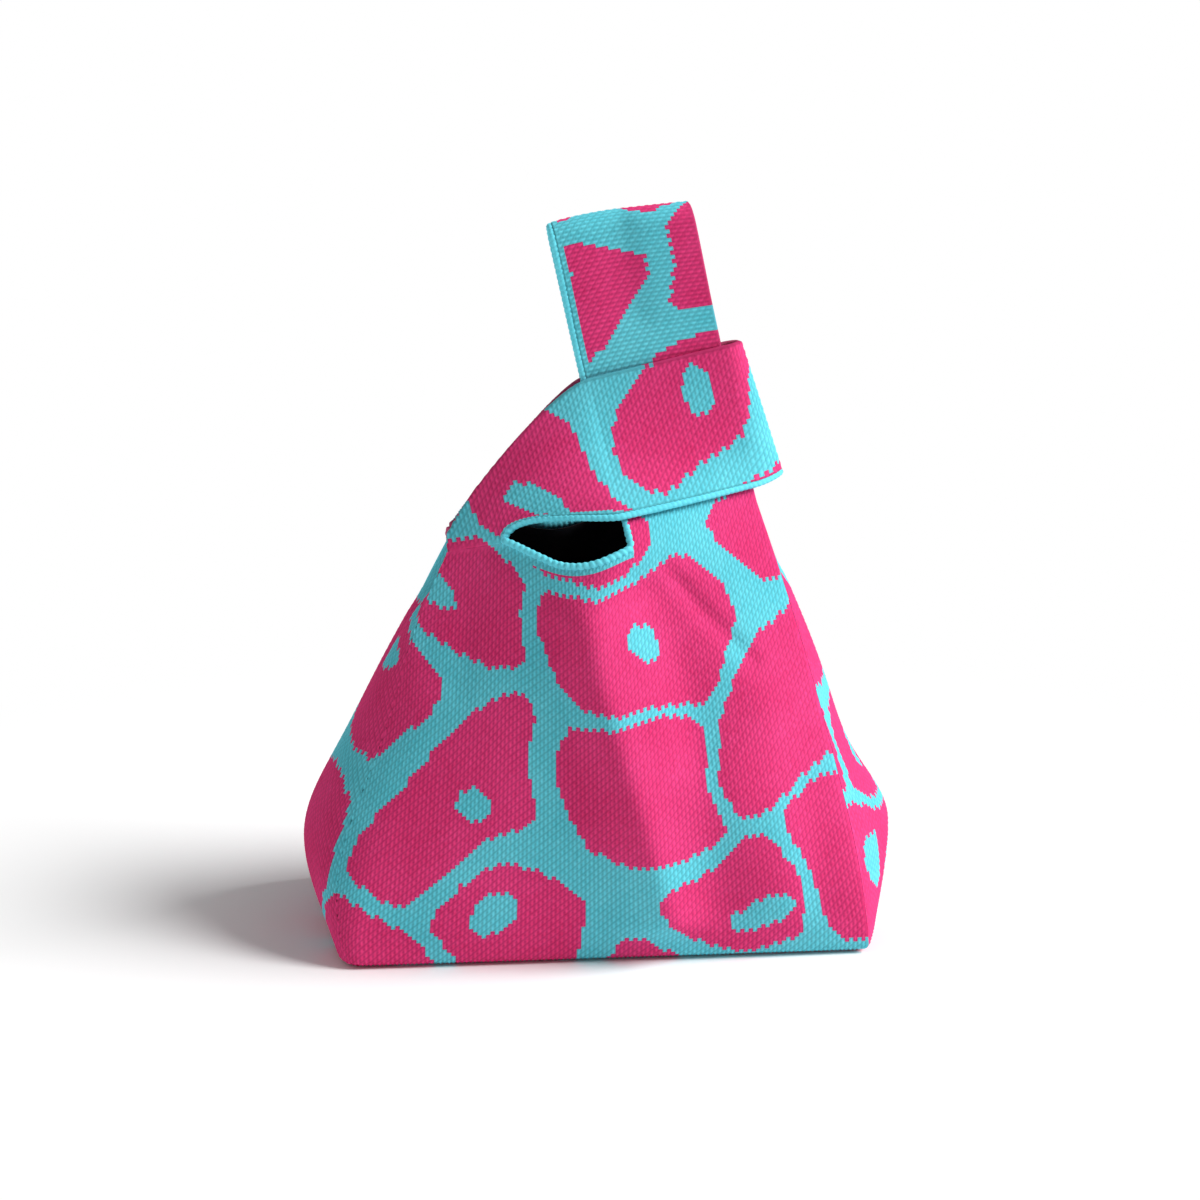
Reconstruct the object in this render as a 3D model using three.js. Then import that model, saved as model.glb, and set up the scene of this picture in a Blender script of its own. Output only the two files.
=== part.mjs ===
// Knitted knot tote: linked knit panels, with a long handle threaded up through a short one.
// Millimetres, +Z up, the front towards -Y, the origin on the floor under the middle of the base.
import * as THREE from "three";

// Fabric and gaps
const FABRIC = 2.6; // thickness of the knit
const LINING = 0.8; // thickness of the lining
const CLEARANCE = 0.3; // gap between pieces that touch
const SLIP = 0.5; // gap between the layers of the knot
const SEAM_RADIUS = 0.5; // half thickness of a linked seam's ridge inside the bag

// Body
const BASE_WIDTH = 199;
const BASE_DEPTH = 104;
const CROWN_SWELL = 6.9; // how far the middle of the front and back swells past the base
const CROWN_TOP = 42; // depth of the front rim, measured from the middle plane
const RIM_HEIGHT = 149; // lowest point of the mouth's rim
const RIDGE_FOOT = 38; // X of the front's soft ridge at the floor
const RIDGE_TOP = 0; // X of that ridge at the rim
const BACK_RIDGE_FOOT = 4; // X of the back's ridge at the floor
const ROUND_LOW = 70; // how round the front is across the ridge, at the floor
const ROUND_HIGH = 14; // and at the rim
const RIDGE_EASE = 1.5; // how late the ridge turns to the left on its way up
const SEAM_DEPTH_EASE = 1.2; // how late the corner seams come together on their way up
const GUSSET_DIP = 6; // how far the gussets fold in at their tops
const GUSSET_DIP_START = 0.8; // share of the height where that fold starts
const LOBE_ROUND = 1.5; // how quickly a gusset's fullness fades to its ends

// Soft folds of the front and back: a line of points (X, Z), its half width and its height
const FRONT_FOLDS = [
  { line: [[-13, 150], [-5, 109], [12, 53], [20, 20]], width: 11, height: 4.5 },
  { line: [[11, 150], [27, 102], [38, 45], [42, 12]], width: 11, height: -5 },
  { line: [[21, 150], [36, 131], [55, 112]], width: 5, height: -2.2 },
  { line: [[30, 132], [42, 92]], width: 15, height: -2.5 },
  { line: [[60, 100], [63, 78], [69, 26]], width: 10, height: 2.4 },
  { line: [[-49, 140], [-54, 104]], width: 6, height: -1.4 },
  { line: [[-30, 24], [-80, 36]], width: 14, height: 1.2 },
];
const BACK_FOLDS = [
  { line: [[6, 150], [-14, 60]], width: 11, height: 2.4 },
  { line: [[-30, 140], [-44, 50]], width: 10, height: -2.2 },
  { line: [[40, 140], [58, 60]], width: 11, height: -2.4 },
  { line: [[30, 40], [76, 26]], width: 12, height: 1.4 },
];
const FOLD_FADE_FOOT = 16; // the folds die out this far above the base
const FOLD_FADE_RIM = 20; // and this far below the rim

// Left shoulder, which carries the short handle
const LEFT_SHOULDER_HEIGHT = 150;
const LEFT_SHOULDER_REACH = 57.5; // distance of the seam's top from the middle
const LEFT_SHOULDER_DEPTH = 11; // distance of the seam's top from the middle plane
const LEFT_SEAM_EASE = 1.8; // how late the seam leans in on its way up
const LEFT_SEAM_BELLY = 7; // how far the seam itself bows out
const LEFT_BELLY = 7; // swell of the left gusset past its seams
const LEFT_BELLY_HEIGHT = 36;
const LEFT_BELLY_SPREAD = 33;
const LEFT_LOBE = 8; // fullness of the left gusset above the belly

// Left front corner, which turns softly: how far from the seam its rounding starts
const CORNER_LOW = 8; // at the foot
const CORNER_HIGH = 20; // and higher up
const CORNER_RISE = 50; // height over which it widens
const CORNER_END = 128; // height at which it has faded out
const CORNER_FADE = 45; // height over which it fades

// Right shoulder, which carries the long handle
const RIGHT_SHOULDER_DEPTH = 10.6;
const RIGHT_SEAM_EASE = 1.4;
const RIGHT_SEAM_BELLY = 0.5;
const RIGHT_BELLY = 16;
const RIGHT_BELLY_HEIGHT = 38;
const RIGHT_BELLY_SPREAD = 25;
const RIGHT_LOBE = 8;
const BELLY_FOOT = 0.6; // share of a gusset's swell that is left at the floor

// Mouth
const MOUTH_LEFT = -37.5; // X of the mouth's left corner
const MOUTH_LEFT_HEIGHT = 155;
const RIM_ROUND = 1.3; // how round the rim sags between its corners

// Knot: both handles are straight here, in a frame that leans to the left
const STRAP_WIDTH = 54; // of both handles, with their edging
const KNOT_X = 7.5; // where the short handle's lower edge crosses the long handle's left edge
const KNOT_HEIGHT = 164;
const KNOT_LEAN = 13; // degrees that the long handle leans to the left
const STRAP_OVERHANG = 2; // how far the long handle stands out to the left of that crossing
const KNOT_DEPTH_LEFT = 27; // depth of the long handle under the short handle's lower edge, at its left edge
const KNOT_DEPTH_RIGHT = 9; // and at its right edge
const KNOT_TAPER = 1.7; // how quickly the long handle flattens on its way up
const ROOT_DROP = 9; // the long handle starts this far under the short handle's lower edge
const ROOT_BLEND = 26; // length over which the front panel turns into the long handle
const FLAP_RAISE = 4; // how far the short handle's lower edge is drawn up at the crossing
const FLAP_DROOP = 3; // how far it hangs down at its fold
const FLAP_REACH_LOW = 65; // how far the fold reaches to the right, at the lower edge
const FLAP_REACH_HIGH = 60; // and at the upper edge
const FOLD_REACH = 5.5; // depth of the rounded fold

// Shoulder of the short handle: how strongly its two edges are bowed
const NECK_LIFT = 44;
const NECK_REACH = 26;
const SHOULDER_LIFT = 58;
const SHOULDER_REACH = 43;
const BACK_SHOULDER_LIFT = 34; // the back strap's outer edge lies lower
const BACK_SHOULDER_REACH = 38;
const SHOULDER_DOME = 4; // how far the shoulder bulges outwards
const NECK_EDGING_START = 0.22; // share of the neck edge where its edging starts
const NECK_EDGING_END = 0.97; // and ends
const EDGING_BREAK = 1; // gap in the edging between the shoulder and the loop

// Carry loop
const LOOP_HEIGHT_LEFT = 110; // top of the loop above the short handle's lower edge, at its left edge
const LOOP_HEIGHT_RIGHT = 106; // and at its right edge
const LOOP_HALF = 7; // half thickness of the open loop
const HINGE_RISE = 15; // the loop bends this far above the short handle's upper edge

// Facets
const WALL_ROWS = 16;
const GUSSET_COLUMNS = 8;
const SHOULDER_STEPS = 11;

// Colours
const PINK = 0xe33a7c;
const TURQUOISE = 0x5fd0d4;
const BLACK = 0x17131a;

// Worked out from the sizes above
const LEAN = THREE.MathUtils.degToRad(KNOT_LEAN);
const EDGING_RADIUS = FABRIC / 2;
const EDGING = CLEARANCE + 2 * EDGING_RADIUS; // width that the edging takes up
const FLAP_HEIGHT = STRAP_WIDTH - EDGING;
const LAYER = SLIP / 2 + FABRIC; // depth of the long handle's outer face where its two layers lie flat
const STRAP_RIGHT = STRAP_WIDTH - STRAP_OVERHANG;
const STRAP_LEFT = STRAP_RIGHT - STRAP_WIDTH + EDGING;
const HINGE = FLAP_HEIGHT + HINGE_RISE;
const WALL_FOOT = FABRIC + CLEARANCE;
const LINING_INSET = FABRIC + 3 * CLEARANCE + 2 * SEAM_RADIUS;

const mix = THREE.MathUtils.lerp;
const smooth = (t) => THREE.MathUtils.smoothstep(t, 0, 1);
const steps = (n) => Array.from({ length: n + 1 }, (_, i) => i / n);
const between = (a, b, n) => steps(n).map((t) => mix(a, b, t));
const vec = (x, y, z) => new THREE.Vector3(x, y, z);
const shifted = (p, direction, distance) => p.clone().addScaledVector(direction, distance);
const mirrored = (p) => vec(p.x, -p.y, p.z);

// The knot's frame: across runs to the right along the short handle, along runs up the long handle.
const acrossAxis = vec(Math.cos(LEAN), 0, Math.sin(LEAN));
const alongAxis = vec(-Math.sin(LEAN), 0, Math.cos(LEAN));
const knotPoint = (across, along, depth) =>
  vec(KNOT_X, -depth, KNOT_HEIGHT).addScaledVector(acrossAxis, across).addScaledVector(alongAxis, along);

const rootRight = knotPoint(STRAP_RIGHT, -ROOT_DROP, 0);
const rootLeft = knotPoint(STRAP_LEFT, -ROOT_DROP, 0);

// Each side of the bag: its corner seams run from a corner of the base to a shoulder.
const left = {
  sign: -1,
  seamBelly: LEFT_SEAM_BELLY,
  top: LEFT_SHOULDER_HEIGHT,
  reach: LEFT_SHOULDER_REACH,
  depth: LEFT_SHOULDER_DEPTH,
  ease: LEFT_SEAM_EASE,
  belly: LEFT_BELLY,
  bellyHeight: LEFT_BELLY_HEIGHT,
  bellySpread: LEFT_BELLY_SPREAD,
  lobe: LEFT_LOBE,
};
const right = {
  sign: 1,
  seamBelly: RIGHT_SEAM_BELLY,
  top: rootRight.z,
  reach: rootRight.x,
  depth: RIGHT_SHOULDER_DEPTH,
  ease: RIGHT_SEAM_EASE,
  belly: RIGHT_BELLY,
  bellyHeight: RIGHT_BELLY_HEIGHT,
  bellySpread: RIGHT_BELLY_SPREAD,
  lobe: RIGHT_LOBE,
};

// The side's swell by height: from its share at the floor to 1 at the belly, then fading upwards.
function belly(side, z, foot) {
  if (z < side.bellyHeight) return mix(foot, 1, Math.sin((Math.PI / 2) * (z / side.bellyHeight)));
  return Math.exp(-(((z - side.bellyHeight) / side.bellySpread) ** 2));
}
function seamX(side, z) {
  const straight = mix(BASE_WIDTH / 2, side.reach, (z / side.top) ** side.ease);
  return side.sign * (straight + side.seamBelly * belly(side, z, 0));
}
const seamDepth = (side, z) => mix(BASE_DEPTH / 2, side.depth, (z / side.top) ** SEAM_DEPTH_EASE);

// How far a gusset swells past its two seams, in its middle.
function gussetSwell(side, z) {
  const rise = Math.min(1, z / side.top);
  const lobe = side.lobe * Math.sin(Math.PI * rise) ** LOBE_ROUND;
  const dip = GUSSET_DIP * smooth((rise - GUSSET_DIP_START) / (1 - GUSSET_DIP_START));
  return side.belly * belly(side, z, BELLY_FOOT) + lobe - dip;
}

// Depth of the front or back panel's outer face: a rounded tent between the two seams and the ridge.
function panelDepth(x, z, ridgeFoot) {
  const rise = z / RIM_HEIGHT;
  const crown = mix(BASE_DEPTH / 2, CROWN_TOP, rise ** 2) + CROWN_SWELL * Math.sin(Math.PI * rise);
  const ridge = mix(ridgeFoot, RIDGE_TOP, rise ** RIDGE_EASE);
  const roundness = mix(ROUND_LOW, ROUND_HIGH, Math.min(1, rise));
  const side = x < ridge ? left : right;
  const fall = (distance) => Math.hypot(distance, roundness) - roundness;
  const share = fall(x - ridge) / fall(seamX(side, z) - ridge);
  return crown - (crown - seamDepth(side, z)) * share;
}

// Depth of the long handle's outer face: the front panel below, two flat layers above.
function strapDepth(across, along) {
  const low = mix(KNOT_DEPTH_LEFT, KNOT_DEPTH_RIGHT, across / STRAP_RIGHT);
  const taper = Math.max(0, (FLAP_HEIGHT - along) / FLAP_HEIGHT) ** KNOT_TAPER;
  const knot = LAYER + Math.max(0, low - LAYER) * taper;
  const share = smooth((along + ROOT_DROP) / ROOT_BLEND);
  if (share === 1) return knot;
  const p = knotPoint(across, along, 0);
  return mix(panelDepth(p.x, p.z, RIDGE_FOOT), knot, share);
}

// A point at a distance outside the long handle's outer face, with the fabric's slope taken into account.
function overStrap(across, along, distance) {
  const e = 0.5;
  const slopeAcross = (strapDepth(across + e, along) - strapDepth(across - e, along)) / (2 * e);
  const slopeAlong = (strapDepth(across, along + e) - strapDepth(across, along - e)) / (2 * e);
  const slant = Math.hypot(1, slopeAcross, slopeAlong);
  return knotPoint(across, along, strapDepth(across, along) + distance * slant);
}

// The left front corner's rounding: a move along the bisector of the two walls that meet there.
function cornerMove(far, z) {
  const e = 0.5;
  const edge = seamX(left, z);
  const slope = (panelDepth(edge + 2 * e, z, RIDGE_FOOT) - panelDepth(edge + e, z, RIDGE_FOOT)) / e;
  const swell = (gussetSwell(left, z) * Math.PI) / (2 * seamDepth(left, z));
  const alongFront = vec(1, -slope, 0).normalize();
  const alongSide = vec(-swell, 1, 0).normalize();
  const inward = alongFront.clone().add(alongSide).normalize();
  const widest = mix(CORNER_LOW, CORNER_HIGH, smooth(z / CORNER_RISE));
  const width = Math.min(widest, 0.8 * seamDepth(left, z)) * smooth((CORNER_END - z) / CORNER_FADE);
  if (far >= width) return vec(0, 0, 0);
  return inward.multiplyScalar((alongFront.dot(inward) * (width - far) ** 2) / (2 * width));
}

// Points on the outer faces of the four walls.
// Share runs from the left, or from the front, to the other seam.
const panelX = (share, z) => mix(seamX(left, z), seamX(right, z), share);
function frontPoint(share, z) {
  const x = panelX(share, z);
  return vec(x, -frontDepth(x, z), z).add(cornerMove(x - seamX(left, z), z));
}
const backPoint = (share, z) => vec(panelX(share, z), backDepth(panelX(share, z), z), z);
const frontDepth = (x, z) => panelDepth(x, z, RIDGE_FOOT) + foldHeight(FRONT_FOLDS, x, z);
function backDepth(x, z) {
  const share = smooth(z / RIM_HEIGHT);
  return panelDepth(x, z, mix(BACK_RIDGE_FOOT, RIDGE_FOOT, share)) + foldHeight(BACK_FOLDS, x, z);
}

// Height of the soft folds at a point of a panel.
function foldHeight(folds, x, z) {
  const fade = smooth(z / FOLD_FADE_FOOT) * smooth((rimHeight(x) - z) / FOLD_FADE_RIM);
  const at = vec(x, 0, z);
  const foot = vec(0, 0, 0);
  let total = 0;
  for (const { line, width, height } of folds) {
    const points = line.map(([px, pz]) => vec(px, 0, pz));
    let far = Infinity;
    for (let i = 1; i < points.length; i++) {
      new THREE.Line3(points[i - 1], points[i]).closestPointToPoint(at, true, foot);
      far = Math.min(far, foot.distanceTo(at));
    }
    total += height * Math.exp(-((far / width) ** 2));
  }
  return total * fade;
}
const gussetPoint = (side) => (share, z) => {
  const depth = seamDepth(side, z);
  const swell = gussetSwell(side, z) * Math.sin(Math.PI * share);
  const p = vec(seamX(side, z) + side.sign * swell, mix(-depth, depth, share), z);
  return side === left ? p.add(cornerMove(depth + p.y, z)) : p;
};
const walls = {
  front: frontPoint,
  right: gussetPoint(right),
  back: backPoint,
  left: gussetPoint(left),
};

// Outward normal of a wall, from small steps along it and up it.
function wallNormal(name, share, z) {
  const e = 0.002;
  const wall = walls[name];
  const along = wall(Math.min(1, share + e), z).sub(wall(Math.max(0, share - e), z));
  const up = wall(share, z + e).sub(wall(share, z - e));
  const normal = along.cross(up).normalize();
  const outward = { front: [0, -1], back: [0, 1], left: [-1, 0], right: [1, 0] }[name];
  return normal.x * outward[0] + normal.y * outward[1] < 0 ? normal.negate() : normal;
}

// At a corner seam the two walls meet on a mitre: one step along it is one step off both faces.
function mitre(panel, panelShare, gusset, gussetShare, z) {
  const a = wallNormal(panel, panelShare, z);
  const b = wallNormal(gusset, gussetShare, z);
  const cosine = a.dot(b);
  return a.add(b).divideScalar(1 + cosine);
}
const corners = {
  frontLeft: { panel: "front", panelShare: 0, gusset: "left", gussetShare: 0 },
  frontRight: { panel: "front", panelShare: 1, gusset: "right", gussetShare: 0 },
  backLeft: { panel: "back", panelShare: 0, gusset: "left", gussetShare: 1 },
  backRight: { panel: "back", panelShare: 1, gusset: "right", gussetShare: 1 },
};
const cornerMitre = (c, z) => mitre(c.panel, c.panelShare, c.gusset, c.gussetShare, z);
function cornerOf(wall, share) {
  return Object.values(corners).find(
    (c) => (c.panel === wall && c.panelShare === share) || (c.gusset === wall && c.gussetShare === share),
  );
}

// Upper end of each wall.
// A panel ends at the short handle's root, the mouth's rim and the long handle's root.
function rimHeight(x) {
  if (x < MOUTH_LEFT) {
    const t = (x + LEFT_SHOULDER_REACH) / (MOUTH_LEFT + LEFT_SHOULDER_REACH);
    return mix(LEFT_SHOULDER_HEIGHT, MOUTH_LEFT_HEIGHT, t);
  }
  if (x > rootLeft.x) {
    return mix(rootLeft.z, rootRight.z, (x - rootLeft.x) / (rootRight.x - rootLeft.x));
  }
  const t = (x - MOUTH_LEFT) / (rootLeft.x - MOUTH_LEFT);
  const straight = mix(MOUTH_LEFT_HEIGHT, rootLeft.z, t);
  const sag = (MOUTH_LEFT_HEIGHT + rootLeft.z) / 2 - RIM_HEIGHT;
  return straight - sag * Math.sin(Math.PI * t) ** RIM_ROUND;
}
function panelTop(share) {
  let z = RIM_HEIGHT;
  for (let i = 0; i < 8; i++) z = rimHeight(panelX(share, z));
  return z;
}
const wallTop = {
  front: panelTop,
  back: panelTop,
  left: () => LEFT_SHOULDER_HEIGHT - FABRIC,
  right: () => rootRight.z - FABRIC,
};
function shareAt(x, z) {
  return (x - seamX(left, z)) / (seamX(right, z) - seamX(left, z));
}
const mouthLeftShare = shareAt(MOUTH_LEFT, MOUTH_LEFT_HEIGHT);
const mouthRightShare = shareAt(rootLeft.x, rootLeft.z);
const panelShares = [
  ...between(0, mouthLeftShare, 5),
  ...between(mouthLeftShare, mouthRightShare, 12).slice(1),
  ...between(mouthRightShare, 1, 13).slice(1),
];

// Closed solid between two grids of points, outer and inner, of the same size.
function sheet(outer, inner) {
  const rows = outer.length;
  const columns = outer[0].length;
  const positions = [...outer.flat(), ...inner.flat()].flatMap((p) => [p.x, p.y, p.z]);
  const out = (r, c) => r * columns + c;
  const into = (r, c) => rows * columns + r * columns + c;
  const index = [];
  const quad = (a, b, c, d) => index.push(a, b, c, a, c, d);
  for (let r = 0; r < rows - 1; r++) {
    for (let c = 0; c < columns - 1; c++) {
      quad(out(r, c), out(r, c + 1), out(r + 1, c + 1), out(r + 1, c));
      quad(into(r, c), into(r + 1, c), into(r + 1, c + 1), into(r, c + 1));
    }
    quad(out(r, 0), out(r + 1, 0), into(r + 1, 0), into(r, 0));
    quad(out(r, columns - 1), into(r, columns - 1), into(r + 1, columns - 1), out(r + 1, columns - 1));
  }
  for (let c = 0; c < columns - 1; c++) {
    quad(out(0, c), into(0, c), into(0, c + 1), out(0, c + 1));
    quad(out(rows - 1, c), out(rows - 1, c + 1), into(rows - 1, c + 1), into(rows - 1, c));
  }
  return closed(positions, index);
}

// A geometry from positions and triangles, turned so that its faces point out.
function closed(positions, index) {
  const at = (i) => vec(positions[3 * i], positions[3 * i + 1], positions[3 * i + 2]);
  let volume = 0;
  for (let i = 0; i < index.length; i += 3) {
    volume += at(index[i]).dot(at(index[i + 1]).cross(at(index[i + 2])));
  }
  const facing = volume < 0 ? index.toReversed() : index;
  const geometry = new THREE.BufferGeometry();
  geometry.setAttribute("position", new THREE.Float32BufferAttribute(positions, 3));
  geometry.setIndex(facing);
  geometry.computeVertexNormals();
  return geometry;
}

// Inner face of a grid: each point moved along the grid's own normal.
function thickened(grid, distance) {
  const rows = grid.length;
  const columns = grid[0].length;
  const normalAt = (r, c) => {
    const up = grid[Math.min(r + 1, rows - 1)][c].clone().sub(grid[Math.max(r - 1, 0)][c]);
    const along = grid[r][Math.min(c + 1, columns - 1)].clone().sub(grid[r][Math.max(c - 1, 0)]);
    return along.cross(up).normalize();
  };
  return grid.map((row, r) => row.map((p, c) => shifted(p, normalAt(r, c), distance)));
}

// A round edging or ridge along a line of points.
function bead(points, radius, sides = 6) {
  const path = new THREE.CatmullRomCurve3(points, false, "centripetal");
  const section = new THREE.Shape().absarc(0, 0, radius, 0, 2 * Math.PI);
  return new THREE.ExtrudeGeometry(section, {
    steps: Math.max(2, points.length - 1),
    curveSegments: sides / 2,
    extrudePath: path,
    bevelEnabled: false,
  });
}

// A wall of the body, from just above the base to its upper end.
function wallSheet(name, shares) {
  const outer = [];
  const inner = [];
  for (const t of steps(WALL_ROWS)) {
    const outerRow = [];
    const innerRow = [];
    shares.forEach((share, c) => {
      const z = mix(WALL_FOOT, wallTop[name](share) - CLEARANCE, t);
      const p = walls[name](share, z);
      const corner = cornerOf(name, share);
      const away = corner ? cornerMitre(corner, z) : wallNormal(name, share, z);
      if (corner) {
        const neighbour = walls[name](shares[c === 0 ? 1 : c - 1], z);
        p.addScaledVector(neighbour.sub(p).normalize(), CLEARANCE);
      }
      const inside = shifted(p, away, -FABRIC);
      outerRow.push(p);
      innerRow.push(t === 0 ? inside.setZ(z) : inside);
    });
    outer.push(outerRow);
    inner.push(innerRow);
  }
  return sheet(outer, inner);
}

// One trip round the bag at a share of the walls' height, set in from the outer faces.
function ring(t, foot, inset, shares) {
  const loop = [];
  const add = (name, list) => {
    for (const share of list) {
      const z = mix(foot, wallTop[name](share) - 2 * CLEARANCE, t);
      const corner = cornerOf(name, share);
      const away = corner ? cornerMitre(corner, z) : wallNormal(name, share, z);
      const p = shifted(walls[name](share, z), away, -inset);
      loop.push(t === 0 ? p.setZ(z) : p);
    }
  };
  add("front", shares);
  add("right", between(0, 1, GUSSET_COLUMNS).slice(1, -1));
  add("back", shares.toReversed());
  add("left", between(1, 0, GUSSET_COLUMNS).slice(1, -1));
  return loop;
}

// The lining: an open tub that hangs inside the walls.
function liningTub() {
  const rows = steps(WALL_ROWS);
  const outer = rows.map((t) => ring(t, LINING_INSET, LINING_INSET, panelShares));
  const inner = rows.map((t) => ring(t, LINING_INSET + LINING, LINING_INSET + LINING, panelShares));
  const count = outer[0].length;
  const points = [...outer.flat(), ...inner.flat()];
  const out = (r, c) => r * count + (c % count);
  const into = (r, c) => (rows.length + r) * count + (c % count);
  const index = [];
  const quad = (a, b, c, d) => index.push(a, b, c, a, c, d);
  const lowOuter = points.push(vec(0, 0, LINING_INSET)) - 1;
  const lowInner = points.push(vec(0, 0, LINING_INSET + LINING)) - 1;
  const last = rows.length - 1;
  for (let c = 0; c < count; c++) {
    for (let r = 0; r < last; r++) {
      quad(out(r, c), out(r, c + 1), out(r + 1, c + 1), out(r + 1, c));
      quad(into(r, c), into(r + 1, c), into(r + 1, c + 1), into(r, c + 1));
    }
    quad(out(last, c), out(last, c + 1), into(last, c + 1), into(last, c));
    index.push(out(0, c + 1), out(0, c), lowOuter);
    index.push(into(0, c), into(0, c + 1), lowInner);
  }
  return closed(
    points.flatMap((p) => [p.x, p.y, p.z]),
    index,
  );
}

// The base: one flat piece with the walls' own outline.
function basePlate() {
  const outline = [];
  const add = (name, shares) => {
    for (const share of shares) {
      const p = walls[name](share, WALL_FOOT);
      outline.push(new THREE.Vector2(p.x, p.y));
    }
  };
  add("front", between(0, 1, 10).slice(0, -1));
  add("right", between(0, 1, 6).slice(0, -1));
  add("back", between(1, 0, 10).slice(0, -1));
  add("left", between(1, 0, 6).slice(0, -1));
  return new THREE.ExtrudeGeometry(new THREE.Shape(outline), { depth: FABRIC, bevelEnabled: false });
}

// A linked seam's ridge, inside a corner of the walls.
function cornerSeam(corner) {
  const top = Math.min(wallTop[corner.panel](corner.panelShare), wallTop[corner.gusset](corner.gussetShare));
  const depth = FABRIC + CLEARANCE + SEAM_RADIUS;
  const foot = LINING_INSET + CLEARANCE;
  const points = between(foot, top - 2 * CLEARANCE - SEAM_RADIUS, WALL_ROWS).map((z) =>
    shifted(walls[corner.panel](corner.panelShare, z), cornerMitre(corner, z), -depth),
  );
  return bead(points, SEAM_RADIUS);
}

// A linked seam's ridge where a wall meets the base, clear of the corner seams at both ends.
function baseSeam(name) {
  const lift = FABRIC + CLEARANCE + SEAM_RADIUS;
  const width = walls[name](0, lift).distanceTo(walls[name](1, lift));
  const margin = (3 * LINING_INSET) / width;
  const points = between(margin, 1 - margin, 10).map((share) => {
    const away = wallNormal(name, share, lift).setZ(0).normalize();
    return shifted(walls[name](share, lift), away, -lift);
  });
  return bead(points, SEAM_RADIUS);
}

// The edging on the mouth's rim, on the middle of the fabric's edge.
function rimEdging(name) {
  const margin = (2 * EDGING) / (seamX(right, RIM_HEIGHT) - seamX(left, RIM_HEIGHT));
  const points = between(mouthLeftShare + margin, mouthRightShare - margin, 14).map((share) => {
    const z = wallTop[name](share) - CLEARANCE;
    const normal = wallNormal(name, share, z);
    const p = shifted(walls[name](share, z), normal, -FABRIC / 2);
    const before = walls[name](share - margin / 4, wallTop[name](share - margin / 4));
    const after = walls[name](share + margin / 4, wallTop[name](share + margin / 4));
    const up = after.sub(before).normalize().cross(normal);
    return shifted(p, up, (CLEARANCE + EDGING_RADIUS) * Math.sign(up.z));
  });
  return bead(points, EDGING_RADIUS);
}

// The short handle's lower edge in the knot's frame, and its reach to the right.
const flapLow = (across) => mix(FLAP_RAISE, -FLAP_DROOP, across / FLAP_REACH_LOW);
const flapReach = (share) => mix(FLAP_REACH_LOW, FLAP_REACH_HIGH, share);
const flapAlong = (across, share) => mix(flapLow(across), FLAP_HEIGHT, share);

// The short handle's shoulder: from the front panel's edge it bows up and over to the knot.
// Share runs from the neck edge to the arm edge, t from the root to the knot.
const frontBow = { lift: SHOULDER_LIFT, reach: SHOULDER_REACH };
const backBow = { lift: BACK_SHOULDER_LIFT, reach: BACK_SHOULDER_REACH };
function shoulderPoint(share, t, bow) {
  const e = 0.5;
  const rootX = mix(MOUTH_LEFT, -LEFT_SHOULDER_REACH, share);
  const rootZ = mix(MOUTH_LEFT_HEIGHT, LEFT_SHOULDER_HEIGHT, share);
  const wallShare = shareAt(rootX, rootZ);
  const root = frontPoint(wallShare, rootZ);
  const rise = frontPoint(wallShare, rootZ + e).sub(frontPoint(wallShare, rootZ - e)).normalize();
  const along = flapAlong(0, share);
  const end = overStrap(-CLEARANCE, along, SLIP + FABRIC);
  const run = overStrap(e, along, SLIP + FABRIC).sub(overStrap(-e, along, SLIP + FABRIC)).normalize();
  rise.multiplyScalar(mix(NECK_LIFT, bow.lift, share));
  run.multiplyScalar(mix(NECK_REACH, bow.reach, share));
  const u = 1 - t;
  const p = root.multiplyScalar(u * u * (1 + 2 * t));
  p.addScaledVector(rise, u * u * t);
  p.addScaledVector(end, t * t * (1 + 2 * u));
  p.addScaledVector(run, -t * t * u);
  p.y -= SHOULDER_DOME * Math.sin(Math.PI * t) * Math.sin(Math.PI * share);
  return p;
}

function shoulderSheet(bow) {
  const shares = steps(8);
  const grid = shares.map((share) => steps(SHOULDER_STEPS).map((t) => shoulderPoint(share, t, bow)));
  const inner = thickened(grid, -FABRIC);
  inner.forEach((row, i) => {
    row[row.length - 1] = overStrap(-CLEARANCE, flapAlong(0, shares[i]), SLIP);
  });
  return sheet(grid, inner);
}

function shoulderEdging(bow) {
  const e = 0.02;
  const points = between(NECK_EDGING_START, NECK_EDGING_END, 10).map((t) => {
    const p = shoulderPoint(0, t, bow);
    const run = shoulderPoint(0, t + e, bow).sub(shoulderPoint(0, t - e, bow)).normalize();
    const through = shoulderPoint(e, t, bow).sub(p).cross(run).normalize();
    const out = through.clone().cross(run);
    const middle = shifted(p, through, (FABRIC / 2) * Math.sign(through.y));
    return shifted(middle, out, -(CLEARANCE + EDGING_RADIUS) * Math.sign(out.z));
  });
  return bead(points, EDGING_RADIUS);
}

// One line round the short handle's loop: along the front, round the fold and back along the rear.
// Distance is measured from the long handle's outer face.
function loopLine(share, drop, distance, inset) {
  const reach = flapReach(share) - FOLD_REACH;
  const at = (across) => flapAlong(across, share) - drop;
  const front = between(CLEARANCE, reach, 9).map((across) => overStrap(across, at(across), distance));
  const last = front.at(-1);
  const depth = -last.y;
  const fold = between(-90, 90, 8).slice(1, -1).map((degrees) => {
    const angle = THREE.MathUtils.degToRad(degrees);
    const out = (FOLD_REACH - inset) * Math.cos(angle);
    return shifted(last, acrossAxis, out).setY(depth * Math.sin(angle));
  });
  return [...front, ...fold, ...front.map(mirrored).toReversed()];
}

function loopSheet() {
  const shares = steps(6);
  const outer = shares.map((share) => loopLine(share, 0, SLIP + FABRIC, 0));
  const inner = shares.map((share) => loopLine(share, 0, SLIP, FABRIC));
  return sheet(outer, inner);
}

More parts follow.
